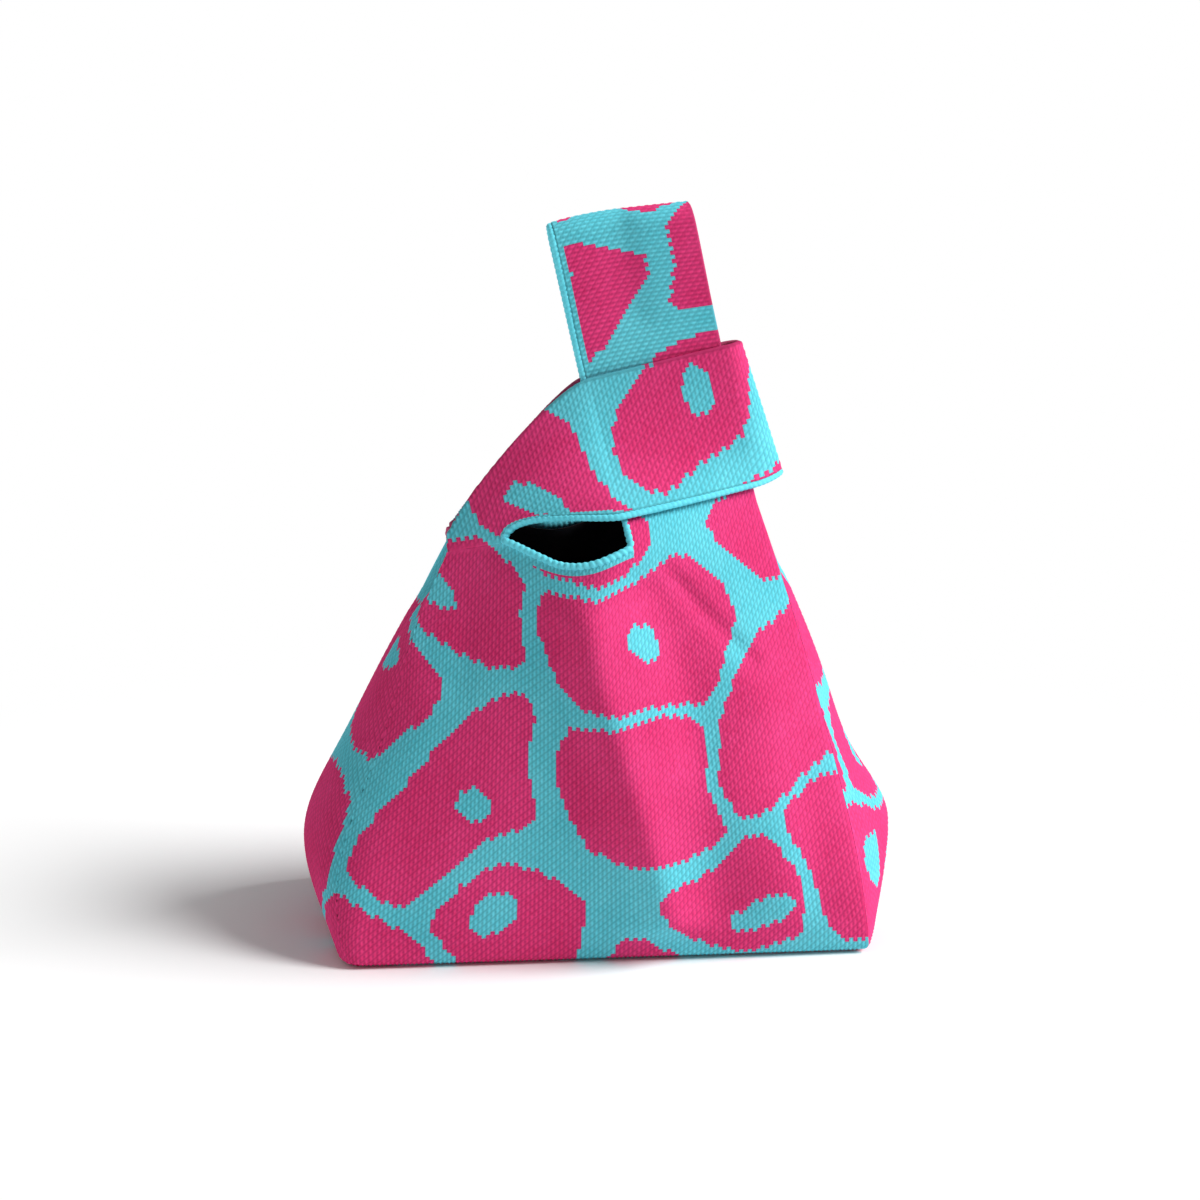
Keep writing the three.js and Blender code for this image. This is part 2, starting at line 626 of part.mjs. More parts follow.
function loopEdging() {
  const line = loopLine(0, CLEARANCE + EDGING_RADIUS, SLIP + FABRIC / 2, FABRIC / 2);
  line[0].addScaledVector(acrossAxis, EDGING_BREAK);
  line.at(-1).addScaledVector(acrossAxis, EDGING_BREAK);
  return bead(line, EDGING_RADIUS);
}

// The long handle's front strap, from the front panel to the bend under the carry loop.
// Its upper end is cut back so that both straps together end on a round about the bend's axis.
function strapSheet() {
  const across = between(STRAP_LEFT, STRAP_RIGHT, 6);
  const along = between(-ROOT_DROP, HINGE, 14);
  const outer = along.map((h) => across.map((a) => overStrap(a, h, 0)));
  const inner = along.map((h, r) =>
    across.map((a) => overStrap(a, r === along.length - 1 ? h + LAYER - SLIP / 2 : h, -FABRIC)),
  );
  return sheet(outer, inner);
}

function strapEdging() {
  const across = STRAP_LEFT - CLEARANCE - EDGING_RADIUS;
  const points = between(-ROOT_DROP + EDGING, HINGE, 12).map((h) => overStrap(across, h, -FABRIC / 2));
  return bead(points, EDGING_RADIUS);
}

// Outline of the carry loop seen along its width: up the front, over the top and down the back.
// Depth is that of the outer face, and inset moves the line inwards.
function loopOutline(inset, across) {
  const foot = HINGE + LAYER + CLEARANCE;
  const height = mix(LOOP_HEIGHT_LEFT, LOOP_HEIGHT_RIGHT, (across - STRAP_LEFT) / (STRAP_RIGHT - STRAP_LEFT));
  const crown = height - LOOP_HALF;
  const leg = between(foot, crown, 8).map((along) => {
    const share = smooth((along - foot) / (crown - foot));
    return { along, depth: mix(LAYER, LOOP_HALF, share) - inset };
  });
  const top = between(0, 180, 10).slice(1, -1).map((degrees) => {
    const angle = THREE.MathUtils.degToRad(degrees);
    const radius = LOOP_HALF - inset;
    return { along: crown + radius * Math.sin(angle), depth: radius * Math.cos(angle) };
  });
  const back = leg.map(({ along, depth }) => ({ along, depth: -depth })).toReversed();
  return [...leg, ...top, ...back];
}

function carryLoop() {
  const side = (inset) =>
    [STRAP_LEFT, STRAP_RIGHT].map((across) =>
      loopOutline(inset, across).map(({ along, depth }) => knotPoint(across, along, depth)),
    );
  return sheet(side(0), side(FABRIC));
}

function carryEdging() {
  const across = STRAP_LEFT - CLEARANCE - EDGING_RADIUS;
  const line = loopOutline(FABRIC / 2, across).map(({ along, depth }) => knotPoint(across, along, depth));
  return bead(line, EDGING_RADIUS);
}

// The same piece on the back of the bag.
function behind(geometry) {
  const copy = geometry.index ? geometry.toNonIndexed() : geometry.clone();
  const p = copy.getAttribute("position");
  const positions = [];
  for (let i = 0; i < p.count; i++) positions.push(p.getX(i), -p.getY(i), p.getZ(i));
  return closed(positions, Array.from({ length: p.count }, (_, i) => i));
}

const bag = new THREE.Group();
function piece(name, geometry, color, roughness = 0.9) {
  const material = new THREE.MeshStandardMaterial({ color, roughness, metalness: 0 });
  const mesh = new THREE.Mesh(geometry, material);
  mesh.name = name;
  bag.add(mesh);
}

// Body
piece("base_panel", basePlate(), PINK);
piece("front_panel", wallSheet("front", panelShares), PINK);
piece("back_panel", wallSheet("back", panelShares), PINK);
piece("left_gusset", wallSheet("left", steps(GUSSET_COLUMNS)), PINK);
piece("right_gusset", wallSheet("right", steps(GUSSET_COLUMNS)), PINK);
piece("lining", liningTub(), BLACK, 0.7);

// Linked seams
for (const [name, corner] of Object.entries(corners)) {
  const words = name.replace(/[A-Z]/, (letter) => "_" + letter.toLowerCase());
  piece(`${words}_seam`, cornerSeam(corner), PINK);
}
for (const name of Object.keys(walls)) piece(`base_${name}_seam`, baseSeam(name), PINK);

// Short handle
piece("short_handle_front", shoulderSheet(frontBow), PINK);
piece("short_handle_back", behind(shoulderSheet(backBow)), PINK);
piece("short_handle_loop", loopSheet(), PINK);
piece("short_handle_front_edging", shoulderEdging(frontBow), TURQUOISE);
piece("short_handle_back_edging", behind(shoulderEdging(backBow)), TURQUOISE);
piece("short_handle_loop_edging", loopEdging(), TURQUOISE);

// Long handle
piece("long_handle_front", strapSheet(), PINK);
piece("long_handle_back", behind(strapSheet()), PINK);
piece("carry_loop", carryLoop(), PINK);
piece("long_handle_front_edging", strapEdging(), TURQUOISE);
piece("long_handle_back_edging", behind(strapEdging()), TURQUOISE);
piece("carry_loop_edging", carryEdging(), TURQUOISE);

// Mouth
piece("mouth_front_edging", rimEdging("front"), TURQUOISE);
piece("mouth_back_edging", rimEdging("back"), TURQUOISE);

export default bag;
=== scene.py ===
"""Knitted knot tote: the looks of the bag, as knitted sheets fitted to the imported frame."""

import math
from types import SimpleNamespace

import bpy
import numpy as np
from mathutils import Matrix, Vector


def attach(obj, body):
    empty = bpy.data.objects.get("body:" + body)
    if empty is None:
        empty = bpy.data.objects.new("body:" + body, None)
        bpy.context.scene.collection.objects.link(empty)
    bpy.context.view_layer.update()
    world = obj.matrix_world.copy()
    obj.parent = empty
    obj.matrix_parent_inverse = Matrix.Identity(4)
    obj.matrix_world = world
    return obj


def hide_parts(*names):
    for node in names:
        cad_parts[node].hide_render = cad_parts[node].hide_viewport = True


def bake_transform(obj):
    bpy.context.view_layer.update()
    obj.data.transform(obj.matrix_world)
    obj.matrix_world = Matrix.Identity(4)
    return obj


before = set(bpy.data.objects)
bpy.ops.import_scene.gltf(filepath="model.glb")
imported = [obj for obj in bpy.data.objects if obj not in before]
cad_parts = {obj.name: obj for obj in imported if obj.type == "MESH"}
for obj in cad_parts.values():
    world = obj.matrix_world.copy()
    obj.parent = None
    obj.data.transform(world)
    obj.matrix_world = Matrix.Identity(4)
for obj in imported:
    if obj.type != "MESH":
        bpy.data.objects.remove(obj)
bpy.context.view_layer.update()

# Sizes are in millimetres up to the meshes, which are in metres
MM = 0.001
STEP = 0.5  # between the points of a line, and over which slopes are measured
FINE_STEP = 0.2  # and which way a sheet faces
NO_EDGE = 99.0  # distance to an edge that isn't there

# Fabric
FABRIC, LINING, CLEARANCE = 2.6, 0.8, 0.3
SLIP = 0.5  # room between the two handles
SEAM_RADIUS = 0.5
SEAM_GROOVE, SEAM_GROOVE_WIDTH = 0.5, 1.6
JOIN_WIDTH = 2.0  # half width of the flat strip where the short handle is joined on
NECK_BAND, FLAP_BAND = 2.0, 0.5  # turquoise beside the edging of the short handle's neck and flap
BAND_TURN = 6  # half the way over which the one turns into the other
LONG_BAND, RIM_BAND = 2.6, 2.8  # beside the long handle's edging, and under the mouth's rim

# Stitches
WALE, COURSE = 1.62, 2.85  # spacing of the columns, and of the stitches in them
STITCH_WIDE, STITCH_TALL = 0.62, 0.6  # a stitch's half width and height, as shares of these
STITCH_RELIEF = 1.1  # how far a stitch stands out of the valleys round it
MEAN_STITCH = 0.72  # its mean height, as a share of its full height
REVERSE_RELIEF = 0.3  # relief of a handle's reverse, as a share of the outside's
STITCH_ROWS = 4  # rows of points to a stitch
EDGE_ROOM = 0.3  # half columns beside an edge that stay free of points
OPEN_EDGE = 12  # half columns by which two rows may differ and still be joined

# Edge stitches of the handles, the mouth and the seams
EDGE_PITCH, EDGE_RADIUS = 2.1, 1.35
EDGE_OUT = 0.2  # how far the edging's middle stands out of the handle's edge
RIM_STITCH, RIM_RADIUS = dict(pitch=2.4, lobes=0.36), 1.5
RIM_SUNK, RIM_OUT = 0.9, 0.5  # how far the rim's lies behind the panel's face, and above its edge
SEAM_STITCH = dict(pitch=1.8, sides=6)
CHAIN_RINGS = 6  # rings of points to a stitch
CHAIN_SLANT, CHAIN_FULL = 0.5, 0.6  # slant of the grooves, and shape of the stitches between them
CHAIN_END = 0.55  # thickness at both ends
CHAIN_ASIDE = [0.12, 0.99, 0.05]  # a way that no chain runs

# Body
BASE_WIDTH, BASE_DEPTH = 199, 104
CROWN_SWELL, CROWN_TOP = 6.9, 42
RIM_HEIGHT, RIM_ROUND = 149, 1.3
RIDGE_FOOT, RIDGE_TOP, RIDGE_EASE, BACK_RIDGE_FOOT = 38, 0, 1.5, 4
ROUND_LOW, ROUND_HIGH = 70, 14
SEAM_DEPTH_EASE = 1.2
GUSSET_DIP, GUSSET_DIP_START = 6, 0.8
LOBE_ROUND = 1.5
BELLY_FOOT = 0.6
FOOT_ROUND = 3.5  # radius of the turn from the walls to the base
GUSSET_SHORT = 0.4  # how far the gussets stop under the shoulders
CREASE, CREASE_WIDTH = 1.6, 5  # depth and half width of the crease up the middle of a gusset
CREASE_START, CREASE_RISE = 0.45, 0.4  # its start and the way it deepens, as shares of the height
MOUTH_LEFT, MOUTH_LEFT_HEIGHT = -37.5, 155

# Knot
STRAP_WIDTH, STRAP_OVERHANG = 54, 2
KNOT_X, KNOT_HEIGHT = 7.5, 164
LEAN = math.radians(13)
KNOT_DEPTH_LEFT, KNOT_DEPTH_RIGHT, KNOT_TAPER = 27, 9, 1.7
ROOT_DROP, ROOT_BLEND = 9, 26
FLAP_RAISE, FLAP_DROOP = 4, 3
FLAP_REACH_LOW, FLAP_REACH_HIGH = 65, 60

# Shoulder of the short handle
NECK_LIFT, NECK_REACH = 44, 26
FRONT_BOW = SimpleNamespace(lift=59, reach=40)
BACK_BOW = SimpleNamespace(lift=34, reach=38)
SHOULDER_DOME = 4
ARM_EASE = 1.5  # how far the shoulder's outer edge eases out above the gusset
ARM_EASE_RISE, ARM_EASE_FALL = 0.12, 0.35  # shares of its way over which it does, and comes back

# Carry loop
LOOP_HEIGHT_LEFT, LOOP_HEIGHT_RIGHT = 110, 106
LOOP_HALF = 7
HINGE_RISE = 15

# Worked out from the sizes above
EDGING = CLEARANCE + FABRIC
FLAP_HEIGHT = STRAP_WIDTH - EDGING
LAYER = SLIP / 2 + FABRIC
STRAP_RIGHT = STRAP_WIDTH - STRAP_OVERHANG
STRAP_LEFT = STRAP_RIGHT - STRAP_WIDTH + EDGING
HINGE = FLAP_HEIGHT + HINGE_RISE
LOOP_TOP = (LOOP_HEIGHT_LEFT + LOOP_HEIGHT_RIGHT) / 2
FOOT_WIDTH = BASE_WIDTH / 2 - FOOT_ROUND
FOOT_DEPTH = BASE_DEPTH / 2 - FOOT_ROUND
LINING_INSET = FABRIC + 3 * CLEARANCE + 2 * SEAM_RADIUS
ACROSS = np.array([math.cos(LEAN), 0, math.sin(LEAN)])
ALONG = np.array([-math.sin(LEAN), 0, math.cos(LEAN)])


def mix(a, b, t):
    return a + (b - a) * t


def smooth(t):
    t = np.clip(t, 0, 1)
    return t * t * (3 - 2 * t)


def hump(t):
    """A soft hump round 0, of about 1 to each side."""
    return np.exp(-(t**2))


def stacked(x, y, z):
    """Points as rows of x, y and z."""
    return np.stack(np.broadcast_arrays(x, y, z), axis=-1)


def unit(v):
    return v / np.maximum(np.linalg.norm(v, axis=-1, keepdims=True), 1e-9)


# The knot's frame: across runs to the right along the short handle, along runs up the long handle


def knot_point(across, along, depth):
    x = KNOT_X + across * ACROSS[0] + along * ALONG[0]
    z = KNOT_HEIGHT + across * ACROSS[2] + along * ALONG[2]
    return stacked(x, -depth, z)


def to_knot(x, z):
    """Across and along of a point seen from the front."""
    dx, dz = x - KNOT_X, z - KNOT_HEIGHT
    return dx * ACROSS[0] + dz * ACROSS[2], dx * ALONG[0] + dz * ALONG[2]


ROOT_RIGHT = knot_point(STRAP_RIGHT, -ROOT_DROP, 0.0)
ROOT_LEFT = knot_point(STRAP_LEFT, -ROOT_DROP, 0.0)

LEFT = SimpleNamespace(
    sign=-1, top=150, reach=57.5, depth=11, ease=1.8, seam_belly=7,
    belly=7, belly_height=36, belly_spread=33, lobe=8,
)
RIGHT = SimpleNamespace(
    sign=1, top=ROOT_RIGHT[2], reach=ROOT_RIGHT[0], depth=10.6, ease=1.4, seam_belly=0.5,
    belly=16, belly_height=38, belly_spread=25, lobe=8,
)


# The walls' outer faces


def belly(side, z, foot):
    low = mix(foot, 1, np.sin(np.pi / 2 * np.clip(z / side.belly_height, 0, 1)))
    return np.where(z < side.belly_height, low, hump((z - side.belly_height) / side.belly_spread))


def seam_x(side, z):
    straight = mix(BASE_WIDTH / 2, side.reach, (np.maximum(z, 0) / side.top) ** side.ease)
    return side.sign * (straight + side.seam_belly * belly(side, z, 0))


def seam_depth(side, z):
    return mix(BASE_DEPTH / 2, side.depth, (np.maximum(z, 0) / side.top) ** SEAM_DEPTH_EASE)


def gusset_swell(side, z):
    rise = np.clip(z / side.top, 0, 1)
    lobe = side.lobe * np.sin(np.pi * rise) ** LOBE_ROUND
    dip = GUSSET_DIP * smooth((rise - GUSSET_DIP_START) / (1 - GUSSET_DIP_START))
    return side.belly * belly(side, z, BELLY_FOOT) + lobe - dip


def panel_depth(x, z, ridge_foot=RIDGE_FOOT):
    rise = np.maximum(z, 0) / RIM_HEIGHT
    crown = mix(BASE_DEPTH / 2, CROWN_TOP, rise**2) + CROWN_SWELL * np.sin(np.pi * rise)
    ridge = mix(ridge_foot, RIDGE_TOP, rise**RIDGE_EASE)
    roundness = mix(ROUND_LOW, ROUND_HIGH, np.minimum(1, rise))
    edge, edge_depth = (np.where(x < ridge, at(LEFT, z), at(RIGHT, z)) for at in (seam_x, seam_depth))

    def fall(distance):
        return np.hypot(distance, roundness) - roundness

    return crown - (crown - edge_depth) * fall(x - ridge) / fall(edge - ridge)


def strap_depth(across, along):
    """Depth of the long handle's outer face."""
    p = knot_point(across, along, 0 * across)
    low = mix(KNOT_DEPTH_LEFT, KNOT_DEPTH_RIGHT, across / STRAP_RIGHT)
    taper = np.maximum(0, (FLAP_HEIGHT - along) / FLAP_HEIGHT) ** KNOT_TAPER
    knot = LAYER + np.maximum(0, low - LAYER) * taper
    share = smooth((along + ROOT_DROP) / ROOT_BLEND)
    return mix(panel_depth(p[..., 0], p[..., 2]), knot, share)


def over_strap(across, along, distance):
    """A point at a distance, square to the cloth, outside the long handle's outer face."""
    e = STEP
    to_right = (strap_depth(across + e, along) - strap_depth(across - e, along)) / (2 * e)
    upwards = (strap_depth(across, along + e) - strap_depth(across, along - e)) / (2 * e)
    slant = np.sqrt(1 + to_right**2 + upwards**2)
    return knot_point(across, along, strap_depth(across, along) + distance * slant)


def rim_height(x):
    left = mix(LEFT.top, MOUTH_LEFT_HEIGHT, (x + LEFT.reach) / (MOUTH_LEFT + LEFT.reach))
    left = np.maximum(left, LEFT.top)
    share = (x - ROOT_LEFT[0]) / (ROOT_RIGHT[0] - ROOT_LEFT[0])
    right = np.minimum(mix(ROOT_LEFT[2], ROOT_RIGHT[2], share), ROOT_RIGHT[2])
    t = np.clip((x - MOUTH_LEFT) / (ROOT_LEFT[0] - MOUTH_LEFT), 0, 1)
    sag = (MOUTH_LEFT_HEIGHT + ROOT_LEFT[2]) / 2 - RIM_HEIGHT
    middle = mix(MOUTH_LEFT_HEIGHT, ROOT_LEFT[2], t) - sag * np.sin(np.pi * t) ** RIM_ROUND
    return np.where(x < MOUTH_LEFT, left, np.where(x > ROOT_LEFT[0], right, middle))


def foot_inset(z):
    """How far the rounded foot turns in under the walls."""
    low = np.clip((FOOT_ROUND - z) / FOOT_ROUND, 0, 1)
    return FOOT_ROUND * (1 - np.sqrt(1 - low**2))


# Soft folds: a line of points (x, z), its half width and its height
FRONT_FOLDS = [
    ([(-13, 150), (-5, 109), (12, 53), (20, 20)], 11, 6.2),
    ([(11, 150), (27, 102), (32, 82)], 11, -5.0),
    ([(36, 64), (42, 24)], 11, -2.2),
    ([(21, 150), (36, 131), (55, 112)], 3.5, -1.2),
    ([(30, 132), (42, 92)], 15, -4.2),
    ([(60, 100), (63, 78), (69, 26)], 10, 0.8),
    ([(76, 60), (80, 22)], 9, -1.2),
    ([(-49, 140), (-54, 104)], 6, -0.9),
    ([(10, 70), (28, 15)], 40, 1.6),
    ([(-35, 130), (-60, 30)], 24, 1.6),
    ([(-10, 40), (-50, 12)], 22, 1.0),
]
BACK_FOLDS = [
    ([(6, 150), (-14, 60)], 11, 2.4),
    ([(-30, 140), (-44, 50)], 10, -2.2),
    ([(40, 140), (58, 60)], 11, -2.4),
    ([(30, 40), (76, 26)], 12, 1.4),
]
FOLD_FADE_FOOT = 16  # folds die out this far above the base
FOLD_FADE_RIM = 20  # and this far below the rim


def folded(x, z, folds):
    """Height of the soft folds at a point of a panel."""
    total = np.zeros_like(x, float)
    for line, width, height in folds:
        far = np.full_like(total, np.inf)
        for (x0, z0), (x1, z1) in zip(line, line[1:]):
            dx, dz = x1 - x0, z1 - z0
            t = np.clip(((x - x0) * dx + (z - z0) * dz) / (dx * dx + dz * dz), 0, 1)
            far = np.minimum(far, np.hypot(x - x0 - t * dx, z - z0 - t * dz))
        total += height * hump(far / width)
    return total * smooth(z / FOLD_FADE_FOOT) * smooth((rim_height(x) - z) / FOLD_FADE_RIM)


def front_depth(x, z):
    """Depth of the front's outer face, folds and all."""
    return panel_depth(x, z) + folded(x, z, FRONT_FOLDS)


def back_depth(x, z):
    foot = mix(BACK_RIDGE_FOOT, RIDGE_FOOT, smooth(z / RIM_HEIGHT))
    return panel_depth(x, z, foot) + folded(x, z, BACK_FOLDS)


# Knitted sheets: u runs across the columns of stitches, v along them


def grain_of(u, v):
    """Nearest stitch of the half-drop lattice: its centre, and the distance from it."""

    def stitch(column):
        shift = 0.5 * np.mod(column, 2)
        cu, cv = column * WALE, (np.round(v / COURSE - shift) + shift) * COURSE
        return cu, cv, np.hypot((u - cu) / (STITCH_WIDE * WALE), (v - cv) / (STITCH_TALL * COURSE))

    column = np.floor(u / WALE)
    near, other = stitch(column), stitch(column + 1)
    return [np.where(other[2] < near[2], b, a) for a, b in zip(near, other)]


def row_lines(length):
    count = max(STITCH_ROWS, round(length / COURSE * STITCH_ROWS))
    return np.arange(count + 1) * (length / count)


def lattice(lines, span):
    """Rows of points at half-stitch columns, trimmed to the sheet's edges, and the faces between."""
    step = WALE / 2
    rows, faces, total = [], [], 0
    for v in lines:
        low, high = span(v)
        first = math.floor(low / step + EDGE_ROOM) + 1
        last = math.ceil(high / step - EDGE_ROOM) - 1
        u = np.concatenate([[low], np.arange(first, last + 1) * step, [high]])
        rows.append(SimpleNamespace(u=u, v=np.full(len(u), v), first=first - 1, last=last + 1, at=total))
        total += len(u)
    for a, b in zip(rows, rows[1:]):
        low, high = max(a.first, b.first), min(a.last, b.last)
        j = np.arange(low, high)
        a0, b0 = a.at + j - a.first, b.at + j - b.first
        faces += np.stack([a0, a0 + 1, b0 + 1, b0], axis=1).tolist()
        for thin, wide, flip in ((a, b, True), (b, a, False)):
            if low - wide.first > OPEN_EDGE:
                continue
            for j in [*range(wide.first, low), *range(high, wide.last)]:
                pivot = thin.at + (low if j < low else high) - thin.first
                edge = [wide.at + j - wide.first, wide.at + j + 1 - wide.first]
                faces.append([pivot, *(edge[::-1] if flip else edge)])
    u, v, to_first, to_last = (
        np.concatenate(values) for values in zip(*((r.u, r.v, r.u - r.u[0], r.u[-1] - r.u) for r in rows))
    )
    rim = [*range(len(rows[0].u)), *range(rows[-1].at, total)]
    for r in rows:
        rim += [r.at, r.at + len(r.u) - 1]
    return SimpleNamespace(u=u, v=v, faces=faces, edges=(to_first, to_last), rim=rim)


def normals_of(place, u, v, outward):
    e = FINE_STEP
    n = unit(np.cross(place(u + e, v) - place(u - e, v), place(u, v + e) - place(u, v - e)))
    return n * np.sign(np.sum(n * outward, axis=-1, keepdims=True))


def mesh_object(name, points, faces, relief, materials, slots=None):
    """A smooth mesh, with the height of its stitches as an attribute that darkens the yarn's colour in the
    valleys, as painted shade.
    """
    mesh = bpy.data.meshes.new(name)
    mesh.from_pydata((points * MM).tolist(), [], faces)
    for material in materials:
        mesh.materials.append(material)
    if slots is not None:
        mesh.polygons.foreach_set("material_index", np.asarray(slots, np.int32))
    mesh.shade_smooth()
    mesh.validate()
    mesh.update()
    attribute = mesh.attributes.new("relief", "FLOAT", "POINT")
    attribute.data.foreach_set("value", np.asarray(relief, np.float32))
    piece = bpy.data.objects.new(name, mesh)
    bpy.context.scene.collection.objects.link(piece)
    return piece


def face_means(values, faces):
    counts = np.array([len(f) for f in faces])
    starts = np.concatenate([[0], np.cumsum(counts)[:-1]])
    return np.add.reduceat(values[np.concatenate(faces)], starts) / counts


def nowhere(u, v):
    return np.zeros(np.shape(u), bool)


def stitch_heights(grid, calm):
    """Height of the knit at each point of a sheet, from 0 between the stitches to 1 on them."""
    far = grain_of(grid.u, grid.v)[2]
    return mix(np.sqrt(np.maximum(0, 1 - np.minimum(far, 1) ** 2)), MEAN_STITCH, calm(grid.u, grid.v))


def turquoise_faces(grid, pattern, band):
    u, v = face_means(grid.u, grid.faces), face_means(grid.v, grid.faces)
    return (pattern(*grain_of(u, v)[:2]) < 0) | band(u, v)


def knit_open(name, lines, span, place, way, pattern, band=nowhere, calm=nowhere, beside=(None, None)):
    """A one-sided knitted panel: stitches in relief, drawn in along its seams.

    Way is where it faces, and beside where the panels seamed to its edges do. Band tells where the knit is
    plain turquoise, and calm how flat it lies.
    """
    grid = lattice(lines, span)
    u, v = grid.u, grid.v
    stitch = stitch_heights(grid, calm)
    normal = normals_of(place, u, v, way)
    drawn = np.zeros_like(normal)
    for near, face in zip(grid.edges, beside):
        if face is not None:
            stitch = mix(1, stitch, smooth(near / WALE))
            drawn -= unit(normal + face) * (SEAM_GROOVE * hump(near / SEAM_GROOVE_WIDTH))[:, None]
    points = place(u, v) + normal * (STITCH_RELIEF * (stitch - 1))[:, None] + drawn
    slots = turquoise_faces(grid, pattern, band)
    return mesh_object(name, points, grid.faces, stitch, [PINK, TURQUOISE], slots)


def knit_band(name, length, span, place, outward, pattern, band, edges, calm=nowhere, sunk=nowhere):
    """A two-sided knitted strap: stitches in relief on the outside, a plain reverse, rounded edges.

    Edges gives a point's distances to the edged and to the plain side, calm how flat the knit lies there,
    and sunk how deep under the panel's.
    """
    grid = lattice(row_lines(length), span)
    u, v = grid.u, grid.v
    stitch = stitch_heights(grid, calm)
    edged, plain = edges(u, v)
    half = FABRIC / 2
    full = smooth(edged / half) * smooth(plain / WALE)
    turn = np.minimum(np.clip(2 * edged / half, 0, 1), np.clip(plain / half, 0, 1))
    profile = np.sqrt(1 - (1 - turn) ** 2)
    relief = STITCH_RELIEF * (stitch - 1) * full
    normal = normals_of(place, u, v, outward(u, v))
    base = place(u, v) - normal * sunk(u, v)[:, None]
    outer = base + normal * (relief * profile - half * (1 - profile))[:, None]
    inner = base - normal * (FABRIC - half * (1 - profile) + REVERSE_RELIEF * relief * profile)[:, None]
    inside = np.ones(len(u), bool)
    inside[grid.rim] = False
    other = np.where(inside, len(u) - 1 + np.cumsum(inside), np.arange(len(u)))
    points = np.concatenate([outer, inner[inside]])
    faces = grid.faces + [other[f[::-1]].tolist() for f in grid.faces]
    heights = np.concatenate([stitch * full, (stitch * full)[inside]])
    slots = np.concatenate([turquoise_faces(grid, pattern, band), np.full(len(grid.faces), 2)])
    return mesh_object(name, points, faces, heights, [PINK, TURQUOISE, REVERSE], slots)


def tube(name, rings, ends, relief, material):
    """A closed skin over rings of points, with one more point at each end."""
    sides = len(rings[0])
    turns = [(i, (i + 1) % sides) for i in range(sides)]
    last = (len(rings) - 1) * sides
    faces = [[k + i, k + j, k + sides + j, k + sides + i] for k in range(0, last, sides) for i, j in turns]
    for i, j in turns:
        faces += [[last + sides, j, i], [last + sides + 1, last + i, last + j]]
    return mesh_object(name, np.concatenate([*rings, ends]), faces, relief, [material])


def way_along(line):
    return np.concatenate([[0], np.cumsum(np.linalg.norm(np.diff(line, axis=0), axis=1))])


def points_at(line, at):
    """Points of a line at distances from its start."""
    way = way_along(line)
    return np.stack([np.interp(at, way, line[:, i]) for i in range(3)], axis=1)


def chain(name, line, radius, material, pitch=EDGE_PITCH, sides=10, lobes=0.22):
    """A row of edge stitches along a line: a cord that swells at every stitch, with a slanted groove."""
    length = way_along(line)[-1]
    at = np.linspace(0, length, max(CHAIN_RINGS, round(length / pitch * CHAIN_RINGS)) + 1)
    path = points_at(line, at)
    tangent = unit(np.gradient(path, axis=0))
    side = unit(np.cross(tangent, CHAIN_ASIDE))[:, None]
    up = np.cross(side[:, 0], tangent)[:, None]
    angle = np.linspace(0, 2 * np.pi, sides, endpoint=False)
    phase = np.pi * at[:, None] / pitch + CHAIN_SLANT * angle
    swell = 1 - lobes * (1 - np.abs(np.sin(phase)) ** CHAIN_FULL)
    taper = np.ones(len(at))
    taper[[0, -1]] = CHAIN_END
    r = radius * swell * taper[:, None]
    rings = path[:, None] + r[..., None] * (np.cos(angle)[:, None] * side + np.sin(angle)[:, None] * up)
    # The swell also goes into the height attribute, so the yarn's colour darkens in the grooves as painted
    # shade
    return tube(name, rings, path[[0, -1]], np.concatenate([swell.ravel(), [1, 1]]), material)


# The two-colour design: rounded pebbles of pink in a turquoise net, some with a turquoise drop inside
PEBBLE = 64.0  # spacing of the pebbles
PEBBLE_ROW = 0.86  # spacing of their rows, as a share of that
NET, NET_CHANGE = 6.4, 0.45  # width of the net between them, and the share by which it changes
NET_WAVES = 31, 43  # over these lengths, across and up
CORNERS = np.array([1.0, 0.7, 0.5])  # weights of its neighbours in the rounding of a pebble
DROP_SHARE = 0.6  # share of the pebbles that hold a drop
DROP_LEAST, DROP_MORE = 0.095, 0.05  # its least size and the range, as shares of the spacing
DROP_LONG, DROP_WIDE = 1.45, 0.8  # its half length and width, as shares of its size
SLOW_BEND, QUICK_BEND = 7, 3.2  # how far slow and quick waves bend the design
ASIDE_WAVES = SimpleNamespace(slow=23, slow_start=0.6, quick=9, quick_start=0, cross=21)
UP_WAVES = SimpleNamespace(slow=25, slow_start=1.1, quick=9.7, quick_start=2, cross=-24)
TILES = 16
pebble_random = np.random.default_rng(5)
PEBBLE_SHIFT = pebble_random.uniform(-0.3, 0.3, (TILES, TILES, 2))
PEBBLE_DROP = pebble_random.uniform(0, 1, (TILES, TILES, 3))


def bent(here, there, waves):
    """One way over the design, bent by waves along the other."""
    slow = np.sin(there / waves.slow + waves.slow_start)
    quick = np.sin(there / waves.quick + waves.quick_start + here / waves.cross)
    return here + SLOW_BEND * slow + QUICK_BEND * quick


